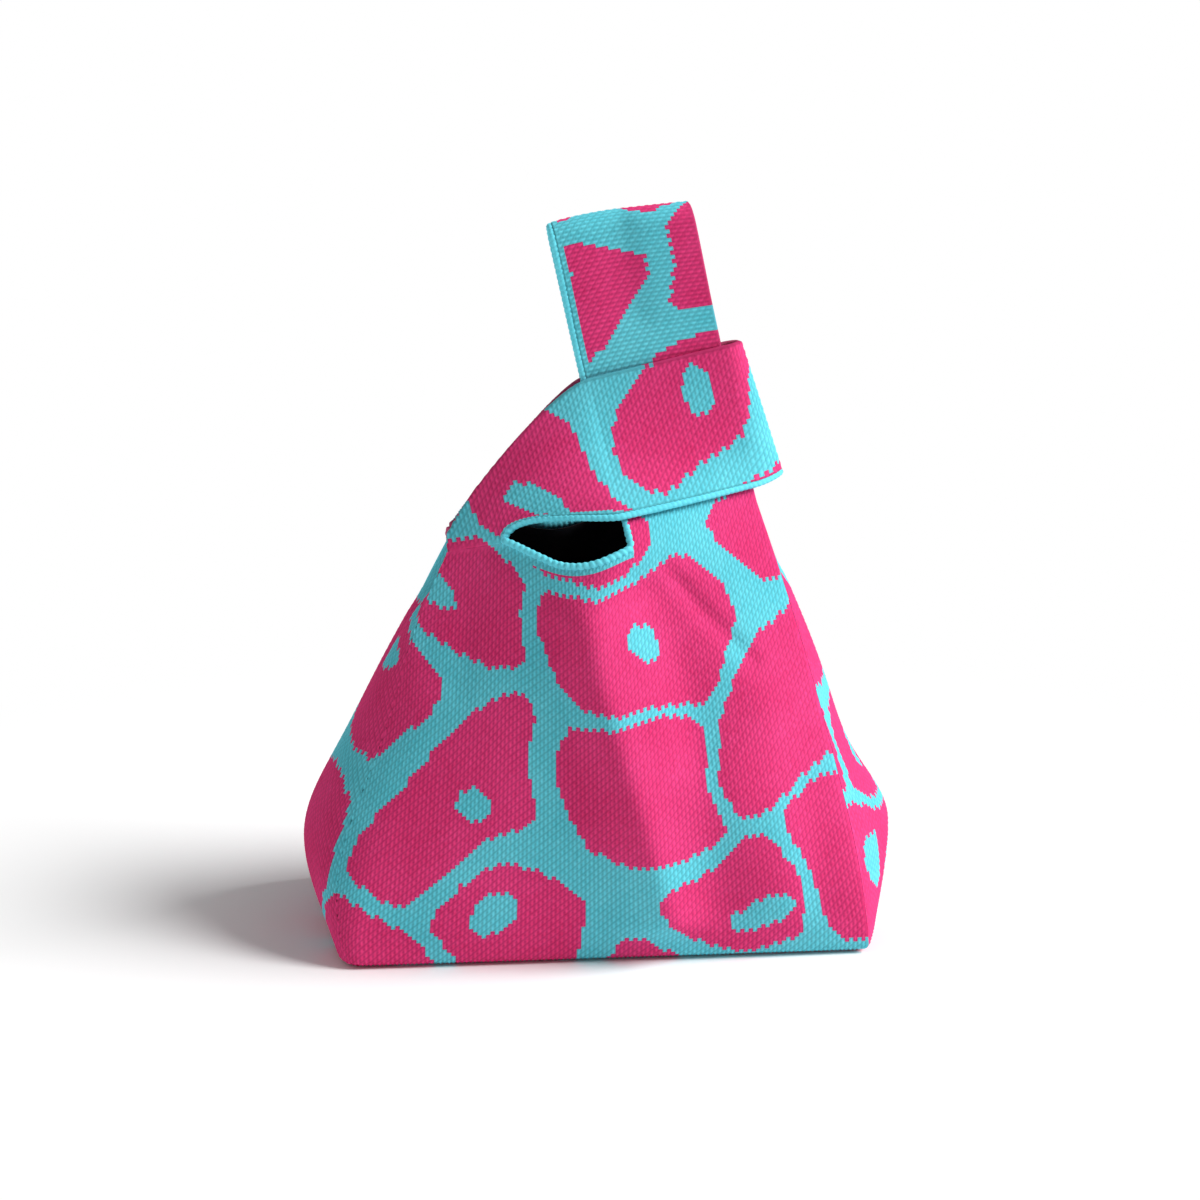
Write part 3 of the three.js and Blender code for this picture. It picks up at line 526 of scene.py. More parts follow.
def design(a, h):
    """The design's field at a point of the cloth: negative where the knit is turquoise."""
    x = bent(a, h, ASIDE_WAVES) / PEBBLE
    y = bent(h, a, UP_WAVES) / (PEBBLE_ROW * PEBBLE)
    distances, drops = [], []
    for r in (np.floor(y).astype(int) + near for near in (-1, 0, 1)):
        offset = 0.5 * np.mod(r, 2)
        for c in (np.floor(x - offset).astype(int) + near for near in (-1, 0, 1)):
            tile = np.mod(r, TILES), np.mod(c, TILES)
            shift, drop = PEBBLE_SHIFT[tile], PEBBLE_DROP[tile]
            dx = x - (c + 0.5 + offset + shift[..., 0])
            dy = y - (r + 0.5 + shift[..., 1])
            distances.append(np.hypot(dx, dy))
            turn = np.pi * drop[..., 1]
            along = dx * np.cos(turn) + dy * np.sin(turn)
            aside = dy * np.cos(turn) - dx * np.sin(turn)
            size = DROP_LEAST + DROP_MORE * drop[..., 2]
            shape = np.hypot(along / (DROP_LONG * size), aside / (DROP_WIDE * size)) - 1
            drops.append(np.where(drop[..., 0] < DROP_SHARE, shape * PEBBLE * size, NO_EDGE))
    near = np.sort(np.array(distances), axis=0)
    gaps = np.maximum(near[1:4] - near[0], 1e-6)
    gap = 1 / np.sum(CORNERS[:, None] / gaps.reshape(3, -1), axis=0)
    width = NET * (1 + NET_CHANGE * np.sin(a / NET_WAVES[0] + h / NET_WAVES[1]))
    return np.minimum(PEBBLE * gap.reshape(np.shape(a)) - width, np.min(np.array(drops), axis=0))


def front_design(x, z):
    return design(*to_knot(x, z))


def back_design(x, z):
    """The back's design carries on from the front's over the top of the long handle."""
    across, along = to_knot(x, z)
    return design(across, 2 * LOOP_TOP - along)


# Materials


def fill(tree, made, inputs):
    """Fills a node's inputs, each with a constant or with another node's output."""
    for key, value in inputs.items():
        if isinstance(value, bpy.types.NodeSocket):
            tree.links.new(value, made.inputs[key])
        else:
            made.inputs[key].default_value = value


def node(tree, kind, inputs={}, **values):
    made = tree.nodes.new(kind)
    for key, value in values.items():
        setattr(made, key, value)
    fill(tree, made, inputs)
    return made


def new_material(name):
    material = bpy.data.materials.new(name)
    material.use_nodes = True
    return material, material.node_tree, material.node_tree.nodes["Principled BSDF"]


def knit_material(name, dark, light, fuzz=0.35):
    """Matte yarn: colour that wanders from stitch to stitch, painted shade in the valleys between stitches,
    fine fibres and a soft sheen.
    """
    material, tree, shader = new_material(name)
    place = node(tree, "ShaderNodeTexCoord").outputs["Object"]

    def noise(scale, detail):
        texture = node(tree, "ShaderNodeTexNoise", {"Vector": place, "Scale": scale, "Detail": detail})
        return texture.outputs["Fac"]

    patches, stitches, fibres = noise(38, 3), noise(620, 2), noise(2600, 4)
    both = node(tree, "ShaderNodeMath", {0: patches, 1: stitches}, operation="ADD").outputs[0]
    mean = node(tree, "ShaderNodeMath", {0: both, 1: 0.5}, operation="MULTIPLY").outputs[0]
    share = node(tree, "ShaderNodeMapRange", {"Value": mean, "From Min": 0.3, "From Max": 0.7})
    ends = {"Factor": share.outputs["Result"], "A": (*dark, 1), "B": (*light, 1)}
    wander = node(tree, "ShaderNodeMix", ends, data_type="RGBA").outputs["Result"]
    # Painted shade: the colour is darkened where the stitches' height is low, in the valleys between them
    relief = node(tree, "ShaderNodeAttribute", attribute_name="relief").outputs["Fac"]
    depth = {"Value": relief, "From Min": 0.35, "From Max": 0.95, "To Min": 0.52, "To Max": 1.0}
    valley_shade = node(tree, "ShaderNodeMapRange", depth).outputs["Result"]
    both = {"Factor": 1, "A": wander, "B": valley_shade}
    shade = node(tree, "ShaderNodeMix", both, data_type="RGBA", blend_type="MULTIPLY").outputs["Result"]
    bump = node(tree, "ShaderNodeBump", {"Height": fibres, "Strength": 0.35, "Distance": 0.0004})
    fill(tree, shader, {
        "Base Color": shade, "Normal": bump.outputs["Normal"], "Roughness": 0.88, "Specular IOR Level": 0.18,
        "Sheen Weight": fuzz, "Sheen Roughness": 0.45, "Sheen Tint": (*light, 1),
    })
    return material


PINK = knit_material("pink_yarn", (0.80, 0.035, 0.18), (1.0, 0.07, 0.29))
TURQUOISE = knit_material("turquoise_yarn", (0.105, 0.63, 0.75), (0.185, 0.80, 0.93))
REVERSE = knit_material("reverse_yarn", (0.58, 0.07, 0.18), (0.76, 0.12, 0.27))
BLACK = knit_material("black_lining", (0.006, 0.005, 0.008), (0.014, 0.012, 0.017), fuzz=0.1)

# Body panels
CORNER_LOW, CORNER_HIGH = 8.0, 20.0  # where the left front corner's rounding starts, low and high
CORNER_MOST = 0.8  # but no further off than this share of the gusset's half depth
CORNER_RISE = 50  # height over which it widens
CORNER_END, CORNER_FADE = 128, 45  # height at which it has faded out, and over which it fades


def corner_move(far, z):
    """The left front corner's rounding: one move for both panels that meet there, along their bisector."""
    edge = seam_x(LEFT, z)
    slope = (panel_depth(edge + 2 * STEP, z) - panel_depth(edge + STEP, z)) / STEP
    swell = gusset_swell(LEFT, z) * np.pi / (2 * seam_depth(LEFT, z))
    along_front = unit(np.stack([np.ones_like(slope), -slope], axis=-1))
    along_side = unit(np.stack([-swell, np.ones_like(swell)], axis=-1))
    inward = unit(along_front + along_side)
    turn = np.sum(along_front * inward, axis=-1)
    width = mix(CORNER_LOW, CORNER_HIGH, smooth(z / CORNER_RISE))
    width = np.minimum(width, CORNER_MOST * seam_depth(LEFT, z))
    width = width * smooth((CORNER_END - z) / CORNER_FADE) + 1e-6
    size = turn * np.maximum(width - far, 0) ** 2 / (2 * width)
    return size * inward[..., 0], size * inward[..., 1]


FAN = 0.0016  # how much closer the columns come on each millimetre of their way up
FAN_CENTRE, FAN_START = -15, 12  # the column that stands upright, and the height from which they lean


def column_of(x, z):
    """The column of stitches at a place of a panel."""
    rise = FAN * np.maximum(z - FAN_START, 0)
    return (x - FAN_CENTRE * rise) / (1 - rise)


PANEL_LENGTH = 156.0  # length of a panel's columns
STRAP_FOOT = 21.0  # and of the long handle's foot that is knitted on to it
ROW = COURSE / STITCH_ROWS
PANEL_LINES = np.concatenate([row_lines(PANEL_LENGTH), PANEL_LENGTH + np.arange(ROW, STRAP_FOOT, ROW)])


def panel_xz(u, v):
    """Place of a stitch of the front or back, seen from the front."""
    z = RIM_HEIGHT * v / PANEL_LENGTH
    for _ in range(6):
        x = u - FAN * (u - FAN_CENTRE) * np.maximum(z - FAN_START, 0)
        z = rim_height(x) * v / PANEL_LENGTH
    return x, z


def panel_span(v):
    """The first and last column of a row of the front or back, or of the long handle's foot above it."""
    ends = []
    for side, root in ((LEFT, ROOT_LEFT), (RIGHT, ROOT_RIGHT)):
        x = root[0]
        for _ in range(12):
            z = rim_height(x) * v / PANEL_LENGTH
            if v > PANEL_LENGTH:
                x = root[0] - (z - root[2]) * math.tan(LEAN)
            else:
                x = seam_x(side, z) - side.sign * foot_inset(z)
        ends.append(float(column_of(x, z)))
    return ends


def unturned(x, z):
    """The place across a panel before its foot turns in."""
    edge = np.abs(np.where(x < 0, seam_x(LEFT, z), seam_x(RIGHT, z)))
    return x * edge / (edge - foot_inset(z))


def on_foot(x, z, depth):
    """Depth of a panel, or of the long handle's foot above it."""
    return np.where((z > rim_height(x)) & (x > MOUTH_LEFT), strap_depth(*to_knot(x, z)), depth)


def front_at(u, v):
    x, z = panel_xz(u, v)
    depth = on_foot(x, z, front_depth(unturned(x, z), z))
    far = np.maximum(x - seam_x(LEFT, z) - foot_inset(z), 0)
    in_x, in_y = corner_move(far, z)
    return stacked(x + in_x, foot_inset(z) - depth + in_y, z)


def back_at(u, v):
    x, z = panel_xz(u, v)
    return stacked(x, on_foot(x, z, back_depth(unturned(x, z), z)) - foot_inset(z), z)


def rim_band(u, v):
    """The turquoise band under the mouth's rim."""
    x, z = panel_xz(u, v)
    return (x > MOUTH_LEFT) & (x < ROOT_LEFT[0]) & (v <= PANEL_LENGTH) & (z > rim_height(x) - RIM_BAND)


def shoulder_calm(u, v):
    """The knit lies flat where the short handle is joined on."""
    x = panel_xz(u, v)[0]
    return np.where(x < MOUTH_LEFT, 1 - smooth((PANEL_LENGTH - v) / JOIN_WIDTH), 0)


TO_LEFT, TO_RIGHT, TO_FRONT, TO_BACK, DOWN = np.array(
    [[-1, 0, 0], [1, 0, 0], [0, -1, 0], [0, 1, 0], [0, 0, -1]]
)
front_knit, back_knit = (
    knit_open(
        name, PANEL_LINES, panel_span, at, way, lambda u, v: field(*panel_xz(u, v)),
        rim_band, shoulder_calm, beside=(beside_left, TO_RIGHT),
    )
    for name, at, way, field, beside_left in (
        ("front_knit", front_at, TO_FRONT, front_design, None),
        ("back_knit", back_at, TO_BACK, back_design, TO_LEFT),
    )
)
RIGHT_START = 520  # where in the design the right gusset starts
BASE_START = 140, 700  # and the base


def gusset(name, side, pattern, beside):
    height = float(side.top) - GUSSET_SHORT

    def place(u, z):
        depth = seam_depth(side, z) - foot_inset(z)
        swell = gusset_swell(side, z) * np.sin(np.pi * (u + depth) / (2 * depth))
        deepened = smooth((z - CREASE_START * height) / (CREASE_RISE * height))
        crease = CREASE * hump(u / CREASE_WIDTH) * deepened
        x = np.abs(seam_x(side, z)) + swell - foot_inset(z) - crease
        in_x, in_y = corner_move(np.maximum(u + depth, 0), z)
        turned = side is LEFT
        return stacked(side.sign * x + turned * in_x, u + turned * in_y, z)

    def span(v):
        depth = float(seam_depth(side, v) - foot_inset(v))
        return -depth, depth

    return knit_open(name, row_lines(height), span, place, side.sign * TO_RIGHT, pattern, beside=beside)


def left_pattern(u, z):
    """The left gusset's design runs on from the front's round the corner."""
    return front_design(seam_x(LEFT, z) - (u + seam_depth(LEFT, z)), z)


left_knit = gusset("left_knit", LEFT, left_pattern, (None, TO_BACK))
right_knit = gusset("right_knit", RIGHT, lambda u, v: design(u + RIGHT_START, v), (TO_FRONT, TO_BACK))


def base_span(v):
    bulge = np.cos(np.pi / 2 * np.clip((v - FOOT_DEPTH) / FOOT_DEPTH, -1, 1))
    return [
        float(seam_x(side, 0.0) + side.sign * (gusset_swell(side, 0.0) * bulge - FOOT_ROUND))
        for side in (LEFT, RIGHT)
    ]


base_knit = knit_open(
    "base_knit", row_lines(2 * FOOT_DEPTH), base_span, lambda u, v: stacked(u, v - FOOT_DEPTH, 0.0), DOWN,
    lambda u, v: design(u + BASE_START[0], v + BASE_START[1]),
)

# The short handle: its columns of stitches stand across it, and its rows run from the front's root to the
# back's. A place on it is its row's height over the lower edge, and the way along the row, which is 0 where
# the knot starts.
SHORT_WIDTH = FLAP_HEIGHT - FLAP_RAISE
FLAP_LENGTH = STRAP_RIGHT + SLIP
FOLD_LENGTH = 26.0  # round the fold, from front to back
HALF_SHORT = FLAP_LENGTH + FOLD_LENGTH / 2
FOLD_TIP = 3.2  # half thickness of the fold close to its tip
FOLD_STRAIGHT = 0.55  # share of its reach over which it runs straight on
ROW_SETTLE = 10  # height over which the rows settle from the neck's curve to straight lines
SHOULDER_LENGTH = 62  # about the shoulder's length
EDGE_POINTS = 201  # to which its edges are worked out
ROOT_CLEAR, ROOT_FREE = 8, 9  # near its root the shoulder's outer edge isn't rounded
BACK_TURN = 0.6  # share of the flap's back over which its design turns into the back's
ROOT_NECK = to_knot(MOUTH_LEFT, MOUTH_LEFT_HEIGHT)
ROOT_ARM = to_knot(-LEFT.reach, LEFT.top)


def facing_round(middle, half, tip):
    """Which way a handle's outside faces: to the front, round by its tip, and to the back."""

    def outward(u, v):
        turn = np.clip((u - middle) / half, -1, 1)[..., None] * np.pi / 2
        return np.cos(turn) * tip + np.sin(turn) * TO_BACK

    return outward


short_outward = facing_round(HALF_SHORT, FOLD_LENGTH / 2, TO_RIGHT)


def flap_along(across, share):
    low = mix(FLAP_RAISE, -FLAP_DROOP, across / FLAP_REACH_LOW)
    return mix(low, FLAP_HEIGHT, share)


def loop_front(across, share):
    return over_strap(across, flap_along(across, share), SLIP + FABRIC)


def shoulder_point(share, t, bow):
    """A point of the shoulder, by shares of its width and of its way from root to knot."""
    root_x = mix(MOUTH_LEFT, -LEFT.reach, share)
    root_z = mix(MOUTH_LEFT_HEIGHT, LEFT.top, share)
    along = flap_along(0 * share, share)

    def front(z):
        return stacked(root_x, -panel_depth(root_x, z), z)

    def knot(across):
        return over_strap(0 * share + across, along, SLIP + FABRIC)

    root, end = front(root_z), knot(0)
    rise = unit(front(root_z + STEP) - front(root_z - STEP)) * mix(NECK_LIFT, bow.lift, share)[..., None]
    run = unit(knot(STEP) - knot(-STEP)) * mix(NECK_REACH, bow.reach, share)[..., None]
    t = np.asarray(t)[..., None]
    w = 1 - t
    p = root * (w * w * (1 + 2 * t)) + rise * (w * w * t) + end * (t * t * (1 + 2 * w)) - run * (t * t * w)
    t = t[..., 0]
    eased = smooth(t / ARM_EASE_RISE) * (1 - smooth((t - ARM_EASE_RISE) / ARM_EASE_FALL))
    p[..., 0] -= ARM_EASE * share**3 * eased
    p[..., 1] -= SHOULDER_DOME * np.sin(np.pi * t) * np.sin(np.pi * share)
    return p


def shoulder_edge(share, bow):
    """One edge of the shoulder from its root to the knot, as across and along."""
    t = np.linspace(0, 1, EDGE_POINTS)
    return to_knot(*shoulder_point(np.full_like(t, share), t, bow)[:, [0, 2]].T)


NECK_ACROSS, NECK_ALONG = shoulder_edge(0.0, FRONT_BOW)


def row_along(across, height):
    """Along of a place on the shoulder, by its row."""
    straight = mix(FLAP_RAISE, ROOT_ARM[1], across / ROOT_ARM[0])
    root = mix(ROOT_ARM[1], ROOT_NECK[1], (across - ROOT_ARM[0]) / (ROOT_NECK[0] - ROOT_ARM[0]))
    low = np.where(across < ROOT_NECK[0], root, np.interp(across, NECK_ACROSS, NECK_ALONG))
    return straight + height + (low - straight) * np.exp(-height / ROW_SETTLE)


def arm_edge(bow):
    """The shoulder's outer edge, as across and as height."""
    across, along = shoulder_edge(1.0, bow)
    height = along - row_along(across, 0 * across)
    for _ in range(12):
        height = height + along - row_along(across, height)
    return across, np.maximum.accumulate(height)


FRONT_ARM, BACK_ARM = arm_edge(FRONT_BOW), arm_edge(BACK_BOW)


def on_shoulder(across, height, bow):
    """The place on the shoulder seen at an across and height, by Newton's method."""
    aim = np.stack([across, row_along(across, height)])
    share = np.clip(height / SHORT_WIDTH, 0.02, 0.98)
    t = np.clip(1 + across / SHOULDER_LENGTH, 0.05, 1)
    e, most = 0.002, 0.25

    def seen(share, t):
        return np.stack(to_knot(*shoulder_point(share, t, bow)[..., [0, 2]].T))

    for _ in range(14):
        miss = aim - seen(share, t)
        by_share = (seen(share + e, t) - seen(share - e, t)) / (2 * e)
        by_t = (seen(share, t + e) - seen(share, t - e)) / (2 * e)
        area = by_share[0] * by_t[1] - by_share[1] * by_t[0]
        share = share + np.clip((miss[0] * by_t[1] - miss[1] * by_t[0]) / area, -most, most)
        t = t + np.clip((by_share[0] * miss[1] - by_share[1] * miss[0]) / area, -most, most)
    return shoulder_point(share, t, bow)


def loop_fold(share, w):
    """The fold, from the front (w = 0) to the middle plane (w = 1)."""
    start = loop_front(np.full_like(share, FLAP_LENGTH), share)
    run = unit(start - loop_front(np.full_like(share, FLAP_LENGTH - STEP), share))
    reach = mix(FLAP_REACH_LOW, FLAP_REACH_HIGH, share) - FLAP_LENGTH
    tip = start + reach[..., None] * ACROSS
    tip[..., 1] = 0
    before = start + run * (FOLD_STRAIGHT * reach)[..., None]
    beside = tip - np.array([0, FOLD_TIP, 0])
    w = w[..., None]
    k = 1 - w
    return start * k**3 + before * (3 * w * k**2) + beside * (3 * w**2 * k) + tip * w**3


def short_half(across, height, bow):
    share = height / SHORT_WIDTH
    p = loop_front(np.clip(across, 0, FLAP_LENGTH), share)
    at_shoulder = across < 0
    at_fold = across > FLAP_LENGTH
    p[at_shoulder] = on_shoulder(across[at_shoulder], height[at_shoulder], bow)
    p[at_fold] = loop_fold(share[at_fold], np.minimum(1, (across[at_fold] - FLAP_LENGTH) * 2 / FOLD_LENGTH))
    return p


def short_across(u):
    return np.where(u < HALF_SHORT, u, 2 * HALF_SHORT - u)


def short_place(u, v):
    front = u < HALF_SHORT
    p = np.empty((*np.shape(u), 3))
    p[front] = short_half(u[front], v[front], FRONT_BOW)
    p[~front] = short_half(2 * HALF_SHORT - u[~front], v[~front], BACK_BOW) * np.array([1, -1, 1])
    return p


def short_span(v):
    front, back = (float(np.interp(v, arm[1], arm[0])) for arm in (FRONT_ARM, BACK_ARM))
    return front, 2 * HALF_SHORT - back


def short_root(u, v):
    """Distance from the shoulder's root."""
    return v + np.maximum(short_across(u) - ROOT_NECK[0], 0)


def short_edges(u, v):
    """Distances to the lower edge and to the outer edge; the root counts as neither."""
    across = short_across(u)
    edged = np.where(across < ROOT_NECK[0], NO_EDGE, v)
    plain = np.full_like(across, NO_EDGE)
    for arm, here in ((FRONT_ARM, u < HALF_SHORT), (BACK_ARM, u >= HALF_SHORT)):
        up = np.maximum(np.interp(across, np.maximum.accumulate(arm[0]), arm[1]) - v, 0)
        aside = np.maximum(across - np.interp(v, arm[1], arm[0]), 0)
        slant = up * aside / np.maximum(np.hypot(up, aside), 1e-6)
        plain = np.where(here, np.where(across < 0, slant, SHORT_WIDTH - v), plain)
    return edged, plain + ROOT_FREE * (1 - smooth(short_root(u, v) / ROOT_CLEAR))


def short_pattern(u, v):
    x, _, z = short_place(u, v).T
    across, along = to_knot(x, z)
    reach = mix(FLAP_REACH_LOW, FLAP_REACH_HIGH, 0.5)
    unrolled = np.where(u < HALF_SHORT, across, 2 * reach - across)
    share = smooth((u - HALF_SHORT - FOLD_LENGTH) / (BACK_TURN * FLAP_LENGTH))
    return mix(design(unrolled, along), back_design(x, z), share)


def short_band(u, v):
    turned = smooth((short_across(u) + BAND_TURN) / (2 * BAND_TURN))
    return short_edges(u, v)[0] < mix(NECK_BAND, FLAP_BAND, turned)


short_handle = knit_band(
    "short_handle", SHORT_WIDTH, short_span, short_place, short_outward, short_pattern, short_band,
    short_edges, calm=lambda u, v: 1 - smooth(short_root(u, v) / JOIN_WIDTH),
)

# The long handle: one band from the front panel's root, over the top of the carry loop, to the back's
LONG_WIDTH = STRAP_RIGHT - STRAP_LEFT
CROWN_BULGE, CROWN_SKEW = 1.4, 0.7  # the top of the carry loop bows up, most of all left of its middle
FOOT_SUNK, FOOT_RISE = 1.25, 4  # how deep its foot lies under the panel's knit, and its way up
LOOP_FOOT = HINGE - 4  # where its two layers start to part
LOOP_FLARE = 2.0  # its edged side stands off to the left above the knot
FLARE_START, FLARE_RISE = 20, 28
LOOP_FLARE_TOP = 0.75  # share of that which is left at its top
FLARE_FALL_START, FLARE_FALL = 56, 46
HOLLOW = 1.4  # depth of the soft hollow that runs up the carry loop
HOLLOW_AT, HOLLOW_LEFT, HOLLOW_RIGHT = 0.47, 0.22, 0.1  # its place and reaches, as shares of the width
HOLLOW_START, HOLLOW_RISE = FLAP_HEIGHT + 9, 14
LONG_LEG = ROOT_DROP + LOOP_TOP - LOOP_HALF
LONG_ARC = np.pi * LOOP_HALF
LONG_LENGTH = 2 * LONG_LEG + LONG_ARC
long_outward = facing_round(LONG_LENGTH / 2, LONG_ARC / 2, ALONG)


def loop_crown(across):
    share = (across - STRAP_LEFT) / LONG_WIDTH
    bulge = CROWN_BULGE * np.sin(np.pi * np.clip(share, 0, 1) ** CROWN_SKEW)
    return mix(LOOP_HEIGHT_LEFT, LOOP_HEIGHT_RIGHT, share) + bulge - LOOP_HALF


def long_place(u, v):
    across = STRAP_LEFT + v
    way = np.minimum(u, LONG_LENGTH - u)
    crown = loop_crown(across)
    along = -ROOT_DROP + (crown + ROOT_DROP) * np.clip(way / LONG_LEG, 0, 1)
    strap = over_strap(across, along, 0.0)
    depth = mix(LAYER, LOOP_HALF, smooth((along - LOOP_FOOT) / (crown - LOOP_FOOT)))
    leg = knot_point(across, along, depth)
    angle = np.clip((way - LONG_LEG) / (LONG_ARC / 2), 0, 1) * np.pi / 2
    arc = knot_point(across, crown + LOOP_HALF * np.sin(angle), LOOP_HALF * np.cos(angle))
    p = np.where((along < LOOP_FOOT)[..., None], strap, leg)
    p = np.where((way > LONG_LEG)[..., None], arc, p)
    share = v / LONG_WIDTH
    flare = smooth((along - FLARE_START) / FLARE_RISE) * (1 - share)
    flare = flare * mix(1, LOOP_FLARE_TOP, smooth((along - FLARE_FALL_START) / FLARE_FALL))
    p -= ACROSS * (LOOP_FLARE * flare)[..., None]
    p[..., 1] *= np.where(u < LONG_LENGTH / 2, 1.0, -1.0)
    reach = np.where(share < HOLLOW_AT, HOLLOW_LEFT, HOLLOW_RIGHT)
    p[..., 1] += HOLLOW * hump((share - HOLLOW_AT) / reach) * smooth((along - HOLLOW_START) / HOLLOW_RISE)
    return p


def long_sunk(u, v):
    """The foot lies under the panel's knit, which runs on over it."""
    way = np.minimum(u, LONG_LENGTH - u)
    return FOOT_SUNK * (1 - smooth((way - STRAP_FOOT + FOOT_RISE) / FOOT_RISE))


long_handle = knit_band(
    "long_handle", LONG_WIDTH, lambda v: (0.0, LONG_LENGTH), long_place, long_outward,
    lambda u, v: design(STRAP_LEFT + v, u - ROOT_DROP), lambda u, v: v < LONG_BAND,
    lambda u, v: (v, LONG_WIDTH - v), sunk=long_sunk,
)

# Edgings, lining and seams
CORNER_REACH = 7.0  # how far from the mouth's corners the handles' own edging starts
CORNER_OVERLAP = 1.0  # and how far the mouth's runs on beside it
CORNER_CUT = 1.5  # what the mouth's lines leave free at a corner, to be rounded
CORNER_STEP, LINE_STEP = 1.6, 0.4  # spacing of their points before and after that
RING_WIDTH, RING_DEPTH, LINING_RINGS = 41, 17, 41  # points of the lining across, to the back and up
SEAM_FOOT, SEAM_SHORT = 6, 2  # what the corner seams leave free at the foot and at the top
SEAM_SUNK = 0.8  # how far they lie inside the knit
BASE_SEAM_SHARE = 0.93  # of a wall's foot that its seam takes up
SEAM_POINTS, BASE_SEAM_POINTS = 80, 60


def edge_line(place, outward, u0, u1):
    """Middle of a strap's edged side."""
    u = np.arange(u0, u1, STEP)
    v = np.zeros_like(u)
    p = place(u, v)
    n = normals_of(place, u, v, outward(u, v))
    aside = unit(place(u, v + STEP) - p)
    return p - n * FABRIC / 2 - aside * EDGE_OUT


def cut(line, gap):
    """A line without its two ends."""
    way = way_along(line)
    return line[(way >= gap) & (way <= way[-1] - gap)]


def rounded(line, turns=5):
    """A line with its corners cut again and again."""
    for _ in range(turns):
        a, b = line[:-1], line[1:]
        middle = np.stack([0.75 * a + 0.25 * b, 0.25 * a + 0.75 * b], axis=1).reshape(-1, 3)
        line = np.concatenate([line[:1], middle, line[-1:]])
    return line


def spaced(line, step):
    length = way_along(line)[-1]
    return points_at(line, np.linspace(0, length, max(2, round(length / step))))


short_line = edge_line(short_place, short_outward, ROOT_NECK[0], 2 * HALF_SHORT - ROOT_NECK[0])
long_line = edge_line(long_place, long_outward, 0, LONG_LENGTH)
short_edging, long_edging = (
    chain(name, cut(line, CORNER_REACH), EDGE_RADIUS, TURQUOISE)
    for name, line in (("short_handle_edge", short_line), ("long_handle_edge", long_line))
)


def mouth_line(at, way, neck, strap):
    """The mouth's edging: down from the neck, along the rim and up the long handle."""
    x = np.arange(MOUTH_LEFT, ROOT_LEFT[0], STEP)
    u = column_of(x, rim_height(x))
    v = np.full_like(u, PANEL_LENGTH)
    rim = at(u, v) - normals_of(at, u, v, way) * RIM_SUNK + np.array([0, 0, RIM_OUT])
    reach = CORNER_REACH + CORNER_OVERLAP
    down = neck[way_along(neck) <= reach][::-1]
    up = way_along(strap)
    knots = np.concatenate([
        down[way_along(down) <= reach - CORNER_CUT],
        cut(rim, CORNER_CUT),
        strap[(up >= CORNER_CUT) & (up <= reach)],
    ])
    return spaced(rounded(spaced(knots, CORNER_STEP)), LINE_STEP)


mouth_front_edge, mouth_back_edge = (
    chain(
        name, mouth_line(at, way, short_line[::order], long_line[::order]), RIM_RADIUS, TURQUOISE,
        **RIM_STITCH,
    )
    for name, at, way, order in (
        ("mouth_front_edge", front_at, TO_FRONT, 1), ("mouth_back_edge", back_at, TO_BACK, -1)
    )
)


def ring_points(share, inset):
    """One trip round the bag at a share of the walls' height, set in from their outer faces."""

    def panel(shares, sign, depth_at):
        z = np.full_like(shares, LEFT.top)
        for _ in range(8):
            at = mix(seam_x(LEFT, z), seam_x(RIGHT, z), shares)
            z = mix(inset, rim_height(at) - 2 * CLEARANCE, share)
        left, right = seam_x(LEFT, z), seam_x(RIGHT, z)
        depth = depth_at(mix(left, right, shares), z)
        return stacked(mix(left + inset, right - inset, shares), sign * (depth - inset), z)

    def wall(shares, side):
        z = np.full_like(shares, mix(inset, side.top - FABRIC - 2 * CLEARANCE, share))
        depth = seam_depth(side, z) - inset
        swell = gusset_swell(side, z) * np.sin(np.pi * shares)
        x = side.sign * (np.abs(seam_x(side, z)) + swell - inset)
        return stacked(x, mix(-depth, depth, shares), z)

    x = np.linspace(0, 1, RING_WIDTH)
    y = np.linspace(0, 1, RING_DEPTH)[1:-1]
    return np.concatenate([
        panel(x, -1, front_depth), wall(y, RIGHT), panel(x[::-1], 1, back_depth), wall(y[::-1], LEFT)
    ])


def lining_sheet():
    """The lining: an open bag of thin cloth, hemmed round its top."""
    shares = np.linspace(0, 1, LINING_RINGS)
    outer, inner = LINING_INSET, LINING_INSET + LINING
    rings = [ring_points(t, outer) for t in shares] + [ring_points(t, inner) for t in shares[::-1]]
    ends = [[0, 0, outer], [0, 0, inner]]
    return tube("lining_cloth", rings, ends, np.ones(len(rings) * len(rings[0]) + len(ends)), BLACK)


lining_cloth = lining_sheet()


def corner_line(side, sign):
    z = np.linspace(SEAM_FOOT, side.top - FABRIC - SEAM_SHORT, SEAM_POINTS)
    x = side.sign * (np.abs(seam_x(side, z)) - FABRIC - SEAM_SUNK)
    in_x, in_y = corner_move(0 * z, z)
    turned = side is LEFT and sign < 0
    return stacked(x + turned * in_x, sign * (seam_depth(side, z) - FABRIC - SEAM_SUNK) + turned * in_y, z)


def base_line(name):
    t = np.linspace(-1, 1, BASE_SEAM_POINTS) * BASE_SEAM_SHARE
    lift = FABRIC + CLEARANCE + SEAM_RADIUS
    if name in ("front", "back"):
        return stacked(t * FOOT_WIDTH, FOOT_DEPTH * (-1 if name == "front" else 1), lift)
    side = LEFT if name == "left" else RIGHT
    bulge = gusset_swell(side, 0.0) * np.cos(np.pi / 2 * t)
    return stacked(side.sign * (FOOT_WIDTH + bulge), t * FOOT_DEPTH, lift)


